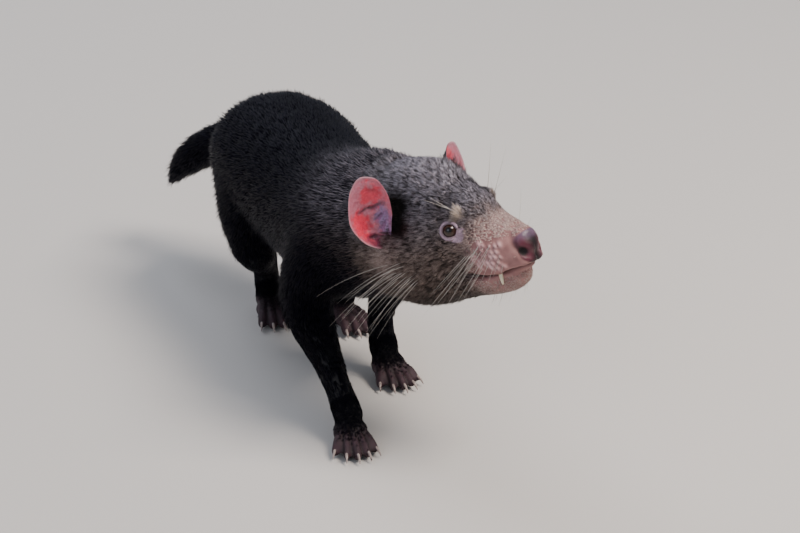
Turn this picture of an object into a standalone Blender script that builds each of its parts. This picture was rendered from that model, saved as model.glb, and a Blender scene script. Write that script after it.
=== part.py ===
"""A Tasmanian devil, Sarcophilus harrisii, life-size and still.

A small adult female walks with her right forefoot ahead and her head turned to her left. All sizes
are metres. She faces -Y, her own left is +X, up is +Z and the floor is z = 0. The head has axes of
its own, forward, left and up, from a point midway between the ears.
"""

import math

import bmesh
import bpy
import numpy as np
from mathutils import Matrix, Vector

# Driving sizes
GAP = 0.0003                        # kept between neighbouring nodes
SHIFT = Vector((-0.0053, -0.0481, 0.0))  # brings the middle of the whole over the origin
BODY_VOXEL = 0.0018                 # grain at which the forms of the body are fused
HEAD_VOXEL = 0.0010
FOOT_VOXEL = 0.0009
BODY_TRIANGLES = 4000
HEAD_TRIANGLES = 4950
FOOT_TRIANGLES = 520

# The head's place and attitude
HEAD_MIDDLE = Vector((0.023, -0.132, 0.182))
HEAD_YAW = math.radians(30.4)       # turned to her left
HEAD_PITCH = math.radians(16.0)     # nose raised
HEAD_ROLL = math.radians(-2.4)      # left ear lower
EYE_RADIUS = 0.0074
EYE = (0.0532, 0.0262, 0.0130)      # the left one's middle in the head's axes
EYE_LOOK = (0.55, 0.78, 0.30)
NOSTRIL = (0.1135, 0.0095, -0.0125)
CANINE_ROOT = (0.0895, 0.0175, -0.0250)
CANINE_TIP = (0.0905, 0.0188, -0.0375)
CANINE_RADIUS = 0.0019

# Trunk and neck from the tail forward: x, y, z of the middle, half width, height above and below
TRUNK = (
    (-0.007, 0.234, 0.143, 0.036, 0.030, 0.037),
    (-0.007, 0.219, 0.144, 0.053, 0.044, 0.052),
    (-0.009, 0.192, 0.146, 0.067, 0.053, 0.061),
    (-0.011, 0.150, 0.149, 0.069, 0.057, 0.064),
    (-0.011, 0.100, 0.150, 0.064, 0.056, 0.070),
    (-0.009, 0.040, 0.151, 0.061, 0.057, 0.073),
    (-0.007, -0.020, 0.156, 0.061, 0.064, 0.070),
    (-0.003, -0.062, 0.165, 0.059, 0.071, 0.063),
    (0.005, -0.098, 0.176, 0.053, 0.068, 0.060),
    (0.016, -0.124, 0.181, 0.045, 0.052, 0.050),
)
TAIL = (
    (-0.005, 0.205, 0.144, 0.026, 0.025, 0.026),
    (-0.009, 0.235, 0.141, 0.0235, 0.0230, 0.0240),
    (-0.018, 0.254, 0.134, 0.0210, 0.0210, 0.0210),
    (-0.034, 0.274, 0.124, 0.0202, 0.0202, 0.0202),
    (-0.050, 0.293, 0.109, 0.0188, 0.0188, 0.0188),
    (-0.062, 0.310, 0.093, 0.0160, 0.0160, 0.0160),
    (-0.069, 0.321, 0.078, 0.0115, 0.0115, 0.0115),
    (-0.072, 0.327, 0.067, 0.0065, 0.0065, 0.0065),
)
# Legs from inside the trunk to the wrist or ankle: middle, half width, reach ahead and behind
FORELEG_RIGHT = (
    (-0.030, -0.050, 0.172, 0.034, 0.040, 0.040),
    (-0.045, -0.048, 0.138, 0.031, 0.037, 0.038),
    (-0.056, -0.042, 0.106, 0.026, 0.028, 0.033),
    (-0.056, -0.056, 0.083, 0.0215, 0.0215, 0.0215),
    (-0.052, -0.083, 0.061, 0.0150, 0.0160, 0.0160),
    (-0.050, -0.110, 0.043, 0.0122, 0.0130, 0.0125),
    (-0.047, -0.131, 0.024, 0.0130, 0.0115, 0.0115),
)
FORELEG_LEFT = (
    (0.020, -0.046, 0.172, 0.034, 0.040, 0.040),
    (0.033, -0.038, 0.138, 0.031, 0.036, 0.038),
    (0.042, -0.014, 0.106, 0.024, 0.027, 0.028),
    (0.039, 0.002, 0.084, 0.0190, 0.0200, 0.0205),
    (0.030, 0.006, 0.062, 0.0140, 0.0155, 0.0150),
    (0.025, 0.000, 0.045, 0.0120, 0.0130, 0.0125),
    (0.025, -0.011, 0.024, 0.0130, 0.0115, 0.0115),
)
HINDLEG_RIGHT = (
    (-0.030, 0.168, 0.150, 0.040, 0.050, 0.046),
    (-0.046, 0.152, 0.122, 0.036, 0.046, 0.044),
    (-0.056, 0.124, 0.096, 0.027, 0.032, 0.032),
    (-0.053, 0.122, 0.078, 0.0200, 0.0230, 0.0240),
    (-0.042, 0.140, 0.060, 0.0150, 0.0160, 0.0160),
    (-0.034, 0.156, 0.043, 0.0122, 0.0130, 0.0135),
    (-0.032, 0.150, 0.022, 0.0122, 0.0120, 0.0130),
)
HINDLEG_LEFT = (
    (0.014, 0.165, 0.150, 0.040, 0.050, 0.046),
    (0.029, 0.140, 0.122, 0.035, 0.046, 0.044),
    (0.039, 0.102, 0.096, 0.026, 0.032, 0.032),
    (0.038, 0.096, 0.078, 0.0200, 0.0230, 0.0240),
    (0.032, 0.108, 0.060, 0.0150, 0.0160, 0.0160),
    (0.026, 0.120, 0.043, 0.0122, 0.0130, 0.0135),
    (0.026, 0.113, 0.022, 0.0122, 0.0120, 0.0130),
)
# Wedges that part the upper legs from the torso, as wide as the leg and the flesh around it
SHOULDER_RIGHT = (
    (-0.052, -0.046, 0.146, 0.036, 0.037, 0.037),
    (-0.059, -0.043, 0.118, 0.037, 0.038, 0.040),
    (-0.061, -0.049, 0.090, 0.034, 0.038, 0.038),
    (-0.061, -0.060, 0.068, 0.034, 0.038, 0.038),
)
SHOULDER_LEFT = (
    (0.040, -0.036, 0.146, 0.036, 0.037, 0.037),
    (0.047, -0.018, 0.118, 0.037, 0.038, 0.040),
    (0.047, -0.002, 0.090, 0.034, 0.038, 0.038),
    (0.045, 0.002, 0.068, 0.034, 0.038, 0.038),
)
HAUNCH_RIGHT = (
    (-0.053, 0.152, 0.140, 0.040, 0.046, 0.046),
    (-0.058, 0.142, 0.112, 0.041, 0.050, 0.050),
    (-0.059, 0.124, 0.086, 0.038, 0.045, 0.045),
    (-0.059, 0.124, 0.066, 0.038, 0.045, 0.045),
)
HAUNCH_LEFT = (
    (0.039, 0.146, 0.140, 0.040, 0.046, 0.046),
    (0.044, 0.128, 0.112, 0.041, 0.050, 0.050),
    (0.045, 0.100, 0.086, 0.038, 0.045, 0.045),
    (0.045, 0.098, 0.066, 0.038, 0.045, 0.045),
)

# Skull and muzzle down to the lips, in the head's axes: forward, left, up, half width, above, below
SKULL = (
    (-0.060, 0.0, -0.004, 0.044, 0.062, 0.046),
    (-0.025, 0.0, -0.003, 0.048, 0.067, 0.052),
    (0.000, 0.0, -0.003, 0.0505, 0.0710, 0.052),
    (0.020, 0.0, -0.004, 0.0500, 0.0680, 0.050),
    (0.040, 0.0, -0.005, 0.0425, 0.0575, 0.043),
    (0.056, 0.0, -0.006, 0.0328, 0.0460, 0.034),
    (0.070, 0.0, -0.009, 0.0285, 0.0350, 0.0270),
    (0.084, 0.0, -0.011, 0.0265, 0.0275, 0.0230),
    (0.097, 0.0, -0.012, 0.0230, 0.0225, 0.0190),
    (0.107, 0.0, -0.012, 0.0170, 0.0175, 0.0150),
)
# Lower jaw and throat: the same columns
JAW = (
    (-0.030, 0.0, -0.022, 0.038, 0.020, 0.033),
    (0.000, 0.0, -0.024, 0.040, 0.020, 0.036),
    (0.030, 0.0, -0.026, 0.035, 0.018, 0.031),
    (0.055, 0.0, -0.031, 0.0280, 0.0120, 0.0215),
    (0.074, 0.0, -0.034, 0.0235, 0.0100, 0.0165),
    (0.087, 0.0, -0.0345, 0.0185, 0.0090, 0.0135),
    (0.096, 0.0, -0.0330, 0.0130, 0.0080, 0.0105),
)
# Rounded masses of the face, the left one of each pair: middle, half sizes
NOSE = ((0.1085, 0.0, -0.0045), (0.0085, 0.0125, 0.0125))
MASSES = (
    ((0.0515, 0.0202, 0.0262), (0.0160, 0.0110, 0.0098)),
    ((0.080, 0.0170, -0.0170), (0.022, 0.0108, 0.0122)),
)
# Mouth seen from the side, from ahead of the lips back to the throat: forward, up
MOUTH = (
    (0.130, -0.0215), (0.108, -0.0243), (0.098, -0.0262), (0.088, -0.0280), (0.076, -0.0285),
    (0.064, -0.0272), (0.055, -0.0260), (0.046, -0.0290), (0.040, -0.0400), (0.037, -0.0800),
)
# Ears in the head's axes: middle of the rim, then the ways the tip and the hollow face
EARS = {
    "ear_right": ((0.0000, -0.0605, 0.0365), (0.13, 0.01, 0.99), (0.82, -0.54, -0.05)),
    "ear_left": ((-0.0085, 0.0565, 0.0272), (-0.16, 0.42, 0.90), (0.95, 0.27, -0.05)),
}
EAR_HALF_WIDTH = 0.0185
EAR_ABOVE = 0.036
EAR_BELOW = 0.031
EAR_LEAN = 0.0135                   # how far the lower end turns in under the cheek
# Long stiff hairs over the eyes, in the head's axes: root on the left brow, way and length.
# The right ones lie back along the crown.
BROW_ROOTS = {"front": (0.0640, 0.0250, 0.0280), "back": (0.0570, 0.0265, 0.0330)}
BROW_WHISKERS = {
    "brow_whisker_left_front": ((0.42, 0.30, 0.95), 0.0455),
    "brow_whisker_left_back": ((0.17, 0.30, 0.95), 0.043),
    "brow_whisker_right_front": ((-0.55, -0.40, 0.65), 0.026),
    "brow_whisker_right_back": ((-0.80, -0.35, 0.50), 0.022),
}
BROW_WHISKER_RADIUS = 0.00032


def head_axes():
    """Forward, left and up of the head as unit vectors."""
    level = math.cos(HEAD_PITCH)
    forward = Vector(
        (math.sin(HEAD_YAW) * level, -math.cos(HEAD_YAW) * level, math.sin(HEAD_PITCH))
    )
    left = Vector((math.cos(HEAD_YAW), math.sin(HEAD_YAW), 0.0))
    left = Matrix.Rotation(-HEAD_ROLL, 3, forward) @ left
    return forward, left, forward.cross(left)


FORWARD, LEFT, UP = head_axes()


def head_way(forward, left, up):
    """A direction given in the head's axes."""
    return FORWARD * forward + LEFT * left + UP * up


def in_head(forward, left, up):
    """The place of a point given in the head's axes."""
    return HEAD_MIDDLE + head_way(forward, left, up)


# Closed forms, each given as its points and faces

def smooth_rows(rows, steps):
    """The rows joined by a smooth curve, with so many steps from each to the next."""
    rows = np.array(rows, float)
    padded = np.vstack((2 * rows[0] - rows[1], rows, 2 * rows[-1] - rows[-2]))
    made = []
    for i in range(len(rows) - 1):
        a, b, c, d = padded[i : i + 4]
        for t in np.arange(steps) / steps:
            made.append(
                0.5 * (2 * b + (c - a) * t + (2 * a - 5 * b + 4 * c - d) * t**2
                       + (3 * b - a - 3 * c + d) * t**3)
            )
    return np.array(made + [rows[-1]])


def tube(rows, side, steps=4, segments=28, dome=0.8, extra=0.0, rounds=(25, 50, 70)):
    """A closed tube with domed ends; its sections are ovals whose width lies along side."""
    rows = smooth_rows(rows, steps)
    rows[:, 3:] += extra
    middles = rows[:, :3]
    runs = np.gradient(middles, axis=0)
    runs /= np.linalg.norm(runs, axis=1)[:, None]
    rings = list(zip(middles, runs, rows[:, 3:]))
    poles = []
    for sign, end in ((-1, 0), (1, -1)):
        middle, run, sizes = middles[end], runs[end], rows[end, 3:]
        depth = dome * min(sizes)
        poles.append(middle + sign * run * depth)
        for t in np.radians(rounds):
            ring = (middle + sign * run * depth * math.sin(t), run, sizes * math.cos(t))
            rings.insert(0, ring) if sign < 0 else rings.append(ring)
    angles = np.linspace(0, 2 * math.pi, segments, endpoint=False)
    points = []
    for middle, run, (half, above, below) in rings:
        across = np.array(side, float) - run * np.dot(side, run)
        across /= np.linalg.norm(across)
        over = np.cross(run, across)
        heights = np.where(np.sin(angles) > 0, above, below) * np.sin(angles)
        points.append(middle + np.outer(half * np.cos(angles), across) + np.outer(heights, over))
    points = np.vstack(points + [pole[None] for pole in poles])
    faces = []
    for ring in range(len(rings) - 1):
        for i in range(segments):
            a, b = ring * segments + i, ring * segments + (i + 1) % segments
            faces.append((a, b, b + segments, a + segments))
    start, end = len(points) - 2, len(points) - 1
    last = (len(rings) - 1) * segments
    for i in range(segments):
        faces.append((start, (i + 1) % segments, i))
        faces.append((end, last + i, last + (i + 1) % segments))
    return points, faces


def ellipsoid(middle, half_sizes, axes=((1, 0, 0), (0, 1, 0), (0, 0, 1)), segments=24, rings=12):
    """An ellipsoid whose three half sizes lie along the axes."""
    axes = np.array([list(a) for a in axes], float)
    points = [(0.0, 0.0, 1.0)]
    for r in range(1, rings):
        t = math.pi * r / rings
        for s in range(segments):
            p = 2 * math.pi * s / segments
            points.append((math.sin(t) * math.cos(p), math.sin(t) * math.sin(p), math.cos(t)))
    points.append((0.0, 0.0, -1.0))
    points = np.array(middle, float) + (np.array(points) * np.array(half_sizes)) @ axes
    faces = [(0, 1 + s, 1 + (s + 1) % segments) for s in range(segments)]
    for r in range(rings - 2):
        for s in range(segments):
            a, b = 1 + r * segments + s, 1 + r * segments + (s + 1) % segments
            faces.append((a, a + segments, b + segments, b))
    last = len(points) - 1
    base = 1 + (rings - 2) * segments
    faces += [(last, base + (s + 1) % segments, base + s) for s in range(segments)]
    return points, faces


def plate(middle, normal, reach, thick=GAP):
    """A square plate, thick along the normal and reaching so far each way."""
    normal = Vector(normal).normalized()
    across = normal.orthogonal().normalized()
    over = normal.cross(across)
    points = [
        Vector(middle) + normal * (n * thick / 2) + across * (a * reach) + over * (b * reach)
        for n in (-1, 1) for a, b in ((-1, -1), (1, -1), (1, 1), (-1, 1))
    ]
    faces = [(3, 2, 1, 0), (4, 5, 6, 7)]
    faces += [(i, (i + 1) % 4, (i + 1) % 4 + 4, i + 4) for i in range(4)]
    return np.array([list(p) for p in points]), faces


def sheet(profile, reach, thick=GAP):
    """A thin sheet across the whole head, bent along a profile of forward and up."""
    profile = np.array(profile)
    runs = np.gradient(profile, axis=0)
    runs /= np.linalg.norm(runs, axis=1)[:, None]
    normals = np.stack((-runs[:, 1], runs[:, 0]), 1)
    points, faces, count = [], [], len(profile)
    for side in (-1, 1):
        for sign in (1, -1):
            for f, u in profile + normals * (sign * thick / 2):
                points.append(list(in_head(f, side * reach, u)))
    for i in range(count - 1):
        faces.append((i, i + 1, 2 * count + i + 1, 2 * count + i))
        faces.append((count + i + 1, count + i, 3 * count + i, 3 * count + i + 1))
        for start in (0, 2 * count):
            quad = (start + i + 1, start + i, start + count + i, start + count + i + 1)
            faces.append(quad if start == 0 else quad[::-1])
    for i in (0, count - 1):
        faces.append((i, count + i, 3 * count + i, 2 * count + i))
    return np.array(points), faces


# Objects

def new_object(name, forms):
    """One mesh object that holds all the closed forms, facing out."""
    points, faces, start = [], [], 0
    for form_points, form_faces in forms:
        points.append(np.asarray(form_points))
        faces += [tuple(i + start for i in face) for face in form_faces]
        start += len(form_points)
    mesh = bpy.data.meshes.new(name)
    mesh.from_pydata(np.vstack(points).tolist(), [], faces)
    bm = bmesh.new()
    bm.from_mesh(mesh)
    bmesh.ops.recalc_face_normals(bm, faces=bm.faces)
    bm.to_mesh(mesh)
    bm.free()
    made = bpy.data.objects.new(name, mesh)
    bpy.context.scene.collection.objects.link(made)
    return made


def apply_modifiers(made):
    """Puts the evaluated mesh in place of the modifiers."""
    bpy.context.view_layer.update()
    evaluated = made.evaluated_get(bpy.context.evaluated_depsgraph_get())
    mesh = bpy.data.meshes.new_from_object(evaluated)
    made.modifiers.clear()
    made.data = mesh
    return made


def fused(name, forms, voxel, smoothing):
    """The forms grown together into one closed skin, its creases softened."""
    made = new_object(name, forms)
    remesh = made.modifiers.new("fuse", "REMESH")
    remesh.mode = "VOXEL"
    remesh.voxel_size = voxel
    soften = made.modifiers.new("soften", "SMOOTH")
    soften.factor = 0.5
    soften.iterations = smoothing
    return apply_modifiers(made)


def sparser(made, triangles):
    """Brings the mesh down to about so many triangles where it is flattest."""
    count = sum(len(face.vertices) - 2 for face in made.data.polygons)
    thin = made.modifiers.new("thin", "DECIMATE")
    thin.ratio = min(1.0, triangles / count)
    return apply_modifiers(made)


def boolean(made, other, operation="DIFFERENCE"):
    """Cuts, keeps what is common with or joins another closed object, which is then removed."""
    cut = made.modifiers.new("cut", "BOOLEAN")
    cut.operation = operation
    cut.object = other
    cut.solver = "EXACT"
    apply_modifiers(made)
    bpy.data.objects.remove(other)
    return made


def join_all(made, others):
    """Joins a collection of closed objects to one by a single union."""
    group = bpy.data.collections.new("joined")
    bpy.context.scene.collection.children.link(group)
    for other in others:
        group.objects.link(other)
    union = made.modifiers.new("join", "BOOLEAN")
    union.operation = "UNION"
    union.operand_type = "COLLECTION"
    union.collection = group
    union.solver = "EXACT"
    apply_modifiers(made)
    for other in others:
        bpy.data.objects.remove(other)
    bpy.data.collections.remove(group)
    return made


def duplicate(made, name):
    copy = bpy.data.objects.new(name, made.data.copy())
    bpy.context.scene.collection.objects.link(copy)
    return copy


def loose_parts(made):
    """One object for each separate surface of the mesh, which is then removed."""
    bm = bmesh.new()
    bm.from_mesh(made.data)
    left = set(bm.verts)
    parts = []
    while left:
        island, edge = set(), [left.pop()]
        while edge:
            vert = edge.pop()
            island.add(vert)
            for link in vert.link_edges:
                other = link.other_vert(vert)
                if other in left:
                    left.discard(other)
                    edge.append(other)
        index = {vert: i for i, vert in enumerate(island)}
        faces = {face for vert in island for face in vert.link_faces}
        points = np.array([list(vert.co) for vert in index])
        parts.append(new_object("part", [(points, [[index[v] for v in f.verts] for f in faces])]))
    bm.free()
    bpy.data.objects.remove(made)
    return parts


def named_parts(made, places):
    """Parts the mesh and keeps, for each name, the piece whose middle is nearest its place."""
    parts = loose_parts(made)
    chosen = {}
    middles = [np.mean([list(v.co) for v in part.data.vertices], axis=0) for part in parts]
    for name, place in places.items():
        gaps = [np.linalg.norm(middle - np.array(place)) for middle in middles]
        part = parts[int(np.argmin(gaps))]
        part.name = name
        chosen[name] = part
    for part in parts:
        if part not in chosen.values():
            bpy.data.objects.remove(part)
    return chosen


def shaped(made, move):
    """Moves every point of the mesh by what the function gives for all of them."""
    mesh = made.data
    points = np.empty(len(mesh.vertices) * 3)
    mesh.vertices.foreach_get("co", points)
    normals = np.empty(len(mesh.vertices) * 3)
    mesh.vertices.foreach_get("normal", normals)
    points = points.reshape(-1, 3)
    points += move(points, normals.reshape(-1, 3))
    mesh.vertices.foreach_set("co", points.ravel())
    mesh.update()
    return made


def bump(distance, width):
    """A smooth bump of height one that dies away over the width."""
    return np.exp(-((distance / width) ** 2))


# Head

def face_relief(points, normals):
    """Lids, mouth, lips and nostrils as shifts of the head's surface."""
    local = (points - np.array(HEAD_MIDDLE)) @ np.array([FORWARD, LEFT, UP]).T
    shift = np.zeros(len(points))
    moves = np.zeros_like(points)
    f, side, u = local[:, 0], local[:, 1], local[:, 2]
    eye = np.array(EYE)
    look = np.array(EYE_LOOK) / np.linalg.norm(EYE_LOOK)
    mirrored = np.stack((f, np.abs(side), u), 1)
    away = mirrored - eye
    along = away @ look
    ring = np.linalg.norm(away - np.outer(along, look), axis=1)
    near = (along > -0.004) & (along < 0.014)
    lid = 0.0013 * bump(ring - 0.0070, 0.0016) - 0.0009 * bump(ring - 0.0115, 0.0022)
    shift += np.where(near, lid, 0)
    corner = mirrored - np.array((0.0615, 0.0235, 0.0070))
    shift -= 0.0010 * bump(np.linalg.norm(corner, axis=1), 0.0035)
    track = smooth_rows([p + (0, 0, 0, 0) for p in MOUTH[1:7]], 5)[:, :2]
    line = np.interp(f, track[::-1, 0], track[::-1, 1])
    on_mouth = (f > 0.052) & (np.abs(side) < 0.045)
    front = np.clip((f - 0.052) / 0.012, 0, 1)
    off = u - line
    lips = 0.0010 * bump(off - 0.0032, 0.0024) + 0.0009 * bump(off + 0.0034, 0.0022)
    lips -= 0.0016 * bump(off, 0.0013)
    shift += np.where(on_mouth, lips * front, 0)
    hole = mirrored - np.array(NOSTRIL)
    depth = 0.0034 * bump(np.linalg.norm(hole * (0.8, 1.0, 0.9), axis=1), 0.0028)
    moves -= np.outer(depth, np.ones(3)) * normals
    slot = 0.0012 * bump(side, 0.0010) * bump(u + 0.019, 0.0065) * (f > 0.1)
    shift -= slot
    pad_edge = 0.0009 * bump(np.linalg.norm((local - np.array(NOSE[0])), axis=1) - 0.0150, 0.0016)
    shift -= np.where(f > 0.095, pad_edge, 0)
    return moves + normals * shift[:, None]


def head_and_neck():
    """Head, jaw and neck as three objects with the eyes' and teeth's hollows."""
    forms = [tube(TRUNK[5:], (1, 0, 0), segments=40)]
    for rows in (SKULL, JAW):
        placed = [tuple(in_head(f, l, u)) + tuple(sizes) for f, l, u, *sizes in rows]
        forms.append(tube(placed, LEFT, segments=40))
    axes = (FORWARD, LEFT, UP)
    forms.append(ellipsoid(in_head(*NOSE[0]), NOSE[1], axes))
    for (f, l, u), sizes in MASSES:
        forms += [ellipsoid(in_head(f, side * l, u), sizes, axes) for side in (-1, 1)]
    whole = fused("head", forms, HEAD_VOXEL, 14)
    shaped(whole, face_relief)
    sparser(whole, HEAD_TRIANGLES)
    cutter = new_object("cutter", [
        plate(NECK_REAR[0], NECK_REAR[1], 0.12),
        plate(NECK_FRONT[0], NECK_FRONT[1], 0.12),
        sheet(MOUTH, 0.06),
    ])
    boolean(whole, cutter)
    named = named_parts(whole, {
        "head": in_head(0.04, 0, 0), "jaw": in_head(0.075, 0, -0.036), "neck": NECK_MIDDLE,
    })
    for side in (-1, 1):
        eye = in_head(EYE[0], side * EYE[1], EYE[2])
        boolean(named["head"], new_object("socket", [eyeball(eye, EYE_RADIUS + GAP)]))
        for name in ("head", "jaw"):
            boolean(named[name], new_object("pocket", [canine(side, GAP)]))
    return named


def eyeball(middle, radius):
    return ellipsoid(middle, (radius,) * 3, segments=18, rings=9)


def canine(side, extra=0.0):
    """A tapering tooth, its root sunk in the upper lip."""
    root = in_head(CANINE_ROOT[0], side * CANINE_ROOT[1], CANINE_ROOT[2])
    tip = in_head(CANINE_TIP[0], side * CANINE_TIP[1], CANINE_TIP[2])
    rows = []
    for t, wide in ((0, 1.0), (0.6, 0.85), (0.92, 0.45)):
        size = CANINE_RADIUS * wide
        rows.append(tuple(root.lerp(tip, t)) + (size, size, size))
    return tube(rows, FORWARD, steps=1, segments=8, dome=0.9, extra=extra, rounds=(45,))


def ear_rim(angle):
    """How far across and up the rim lies at an angle from the tip: broad above, narrow below."""
    across = math.copysign(abs(math.sin(angle)) ** 0.8, math.sin(angle))
    up = math.copysign(abs(math.cos(angle)) ** 0.9, math.cos(angle))
    if up < 0:
        across *= 1 + (0.25 if across > 0 else 0.40) * up
    return EAR_HALF_WIDTH * across, (EAR_ABOVE if up > 0 else EAR_BELOW) * up


def ear_form(name):
    """A hollow shell with a rounded rim, and the root that carries it."""
    side = -1 if name == "ear_right" else 1
    place, tip_way, facing = EARS[name]
    tip_way = head_way(*tip_way).normalized()
    facing = head_way(*facing)
    facing = (facing - tip_way * facing.dot(tip_way)).normalized()
    outward = facing.cross(tip_way) * -side
    middle = in_head(*place)
    sideways = LEFT * side
    rings, segments = 4, 24
    front, back = [], []
    for r in range(rings + 1):
        p = r / rings
        for s in range(segments):
            t = 2 * math.pi * s / segments
            x, z = (p * far for far in ear_rim(t))
            rise = z / (EAR_ABOVE if z > 0 else EAR_BELOW)
            flat = max(rise, 0.0)
            cup = (0.0115 - 0.0075 * flat - 0.0030 * min(rise, 0.0)) * (1 - p**2)
            curl = 0.0040 * (1 - 0.7 * flat) * (x / EAR_HALF_WIDTH) ** 2
            lean = EAR_LEAN * min(rise, 0.0) ** 2
            place = middle + outward * x + tip_way * z + facing * (curl - cup) - sideways * lean
            front.append(place)
            thick = 0.0019 + 0.0014 * (1 - p**2)
            back.append(place - facing * thick - (place - middle) * 0.02)
    points = np.array([list(p) for p in front + back])
    faces, half = [], len(front)
    for r in range(rings):
        for s in range(segments):
            a, b = r * segments + s, r * segments + (s + 1) % segments
            if r == 0:
                faces.append((0, a + segments, b + segments))
                faces.append((half, half + b + segments, half + a + segments))
            else:
                faces.append((a, a + segments, b + segments, b))
                faces.append((half + a, half + b, half + b + segments, half + a + segments))
    edge = rings * segments
    for s in range(segments):
        a, b = edge + s, edge + (s + 1) % segments
        faces.append((a, half + a, half + b, b))
    used = sorted({i for face in faces for i in face})
    index = {old: new for new, old in enumerate(used)}
    shell = (points[used], [tuple(index[i] for i in face) for face in faces])
    root = middle - tip_way * 0.017 - facing * 0.0245 - sideways * 0.010
    knob = ellipsoid(root, (0.011, 0.0095, 0.013), (outward, facing, tip_way), 14, 8)
    return [shell, knob]


def ears(head):
    """Both ears, cut back so that they stand clear of the head."""
    made = []
    for name in EARS:
        shell, root = ear_form(name)
        ear = join_all(new_object(name, [shell]), [new_object("root", [root])])
        for body in head:
            around = shaped(duplicate(body, "around"), lambda p, n: n * GAP * 1.3)
            boolean(ear, around)
        made.append(ear)
    return made


def brow_whiskers(head):
    """The long hairs over the eyes, each a tapering bristle that meets the brow."""
    made = []
    for name, (way, length) in BROW_WHISKERS.items():
        _, _, side, place = name.split("_")
        forward, left, up = BROW_ROOTS[place]
        root = in_head(forward, left if side == "left" else -left, up)
        way = head_way(*way).normalized()
        rows = []
        for t, wide in ((-0.25, 1.0), (0.2, 1.0), (0.6, 0.75), (1.0, 0.35)):
            size = BROW_WHISKER_RADIUS * wide
            rows.append(tuple(root + way * length * t) + (size, size, size))
        bristle = new_object(name, [tube(rows, FORWARD, steps=1, segments=5, rounds=())])
        boolean(bristle, shaped(duplicate(head, "around"), lambda p, n: n * GAP * 1.3))
        made.append(bristle)
    return made


# Feet

def foot_forms(rows, heading, toes, sole):
    """Wrist, sole and toes of one foot, whose heading is an angle from straight ahead."""
    ahead = Vector((math.sin(heading), -math.cos(heading), 0.0))
    side = Vector((math.cos(heading), math.sin(heading), 0.0))
    base = Vector(rows[-1][:3])
    base.z = 0.0
    axes = (side, ahead, (0, 0, 1))
    forms = [tube(rows[-3:], (1, 0, 0), extra=-0.0004)]
    for forward, high, sizes in sole:
        forms.append(ellipsoid(base + ahead * forward + Vector((0, 0, high)), sizes, axes))
    claws = []
    for across, reach in toes:
        root = base + side * across * 0.55 + ahead * 0.012
        way = (side * (across * 0.45) + ahead * (reach - 0.012))
        track = []
        for t, high, half, tall in (
            (0.0, 0.0110, 0.0050, 0.0070), (0.4, 0.0105, 0.0044, 0.0058),
            (0.75, 0.0085, 0.0041, 0.0052), (1.0, 0.0050, 0.0040, 0.0044),
        ):
            place = root + way * t + Vector((0, 0, high))
            track.append(tuple(place) + (half, tall, tall))
        forms.append(tube(track, side, steps=3, segments=16, dome=0.9))
        tip = root + way
        run = way.normalized()
        rows_of_claw = []
        for along, high, size in (
            (-0.0040, 0.0062, 0.0018), (0.0020, 0.0072, 0.0017), (0.0065, 0.0058, 0.0012),
            (0.0098, 0.0030, 0.0006),
        ):
            place = tip + run * along + Vector((0, 0, high))
            rows_of_claw.append(tuple(place) + (size, size * 1.25, size * 1.25))
        claws.append(tube(rows_of_claw, side, steps=1, segments=6, dome=1.5, rounds=()))
    return forms, claws


FORE_SOLE = ((0.008, 0.0125, (0.0150, 0.0160, 0.0125)), (0.018, 0.0085, (0.0165, 0.0130, 0.0095)))
HIND_SOLE = ((-0.004, 0.0130, (0.0120, 0.0160, 0.0130)), (0.014, 0.0085, (0.0150, 0.0190, 0.0095)))
FORE_TOES = ((-0.0170, 0.029), (-0.0092, 0.038), (0.0, 0.041), (0.0092, 0.038), (0.0168, 0.030))
HIND_TOES = ((-0.0140, 0.037), (-0.0048, 0.042), (0.0048, 0.042), (0.0136, 0.036))


def foot(name, rows, heading, toes, sole):
    """A foot with its toes and claws, flat where it meets the floor."""
    forms, claws = foot_forms(rows, heading, toes, sole)
    made = fused(name, forms, FOOT_VOXEL, 4)
    sparser(made, FOOT_TRIANGLES)
    middle, normal = wrist(rows)
    below = plate(Vector((middle.x, middle.y, -0.05)), (0, 0, 1), 0.3, 0.1)
    above = plate(middle + normal * (0.05 + GAP / 2), normal, 0.1, 0.1)
    boolean(made, new_object("floor", [below]))
    boolean(made, new_object("leg", [above]))
    join_all(made, [new_object("claw", [claw]) for claw in claws])
    return made


def wrist(rows):
    """Middle and upward normal of the cut between a leg and its foot."""
    low, high = Vector(rows[-1][:3]), Vector(rows[-2][:3])
    return low.lerp(high, 0.55), (high - low).normalized()


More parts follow.
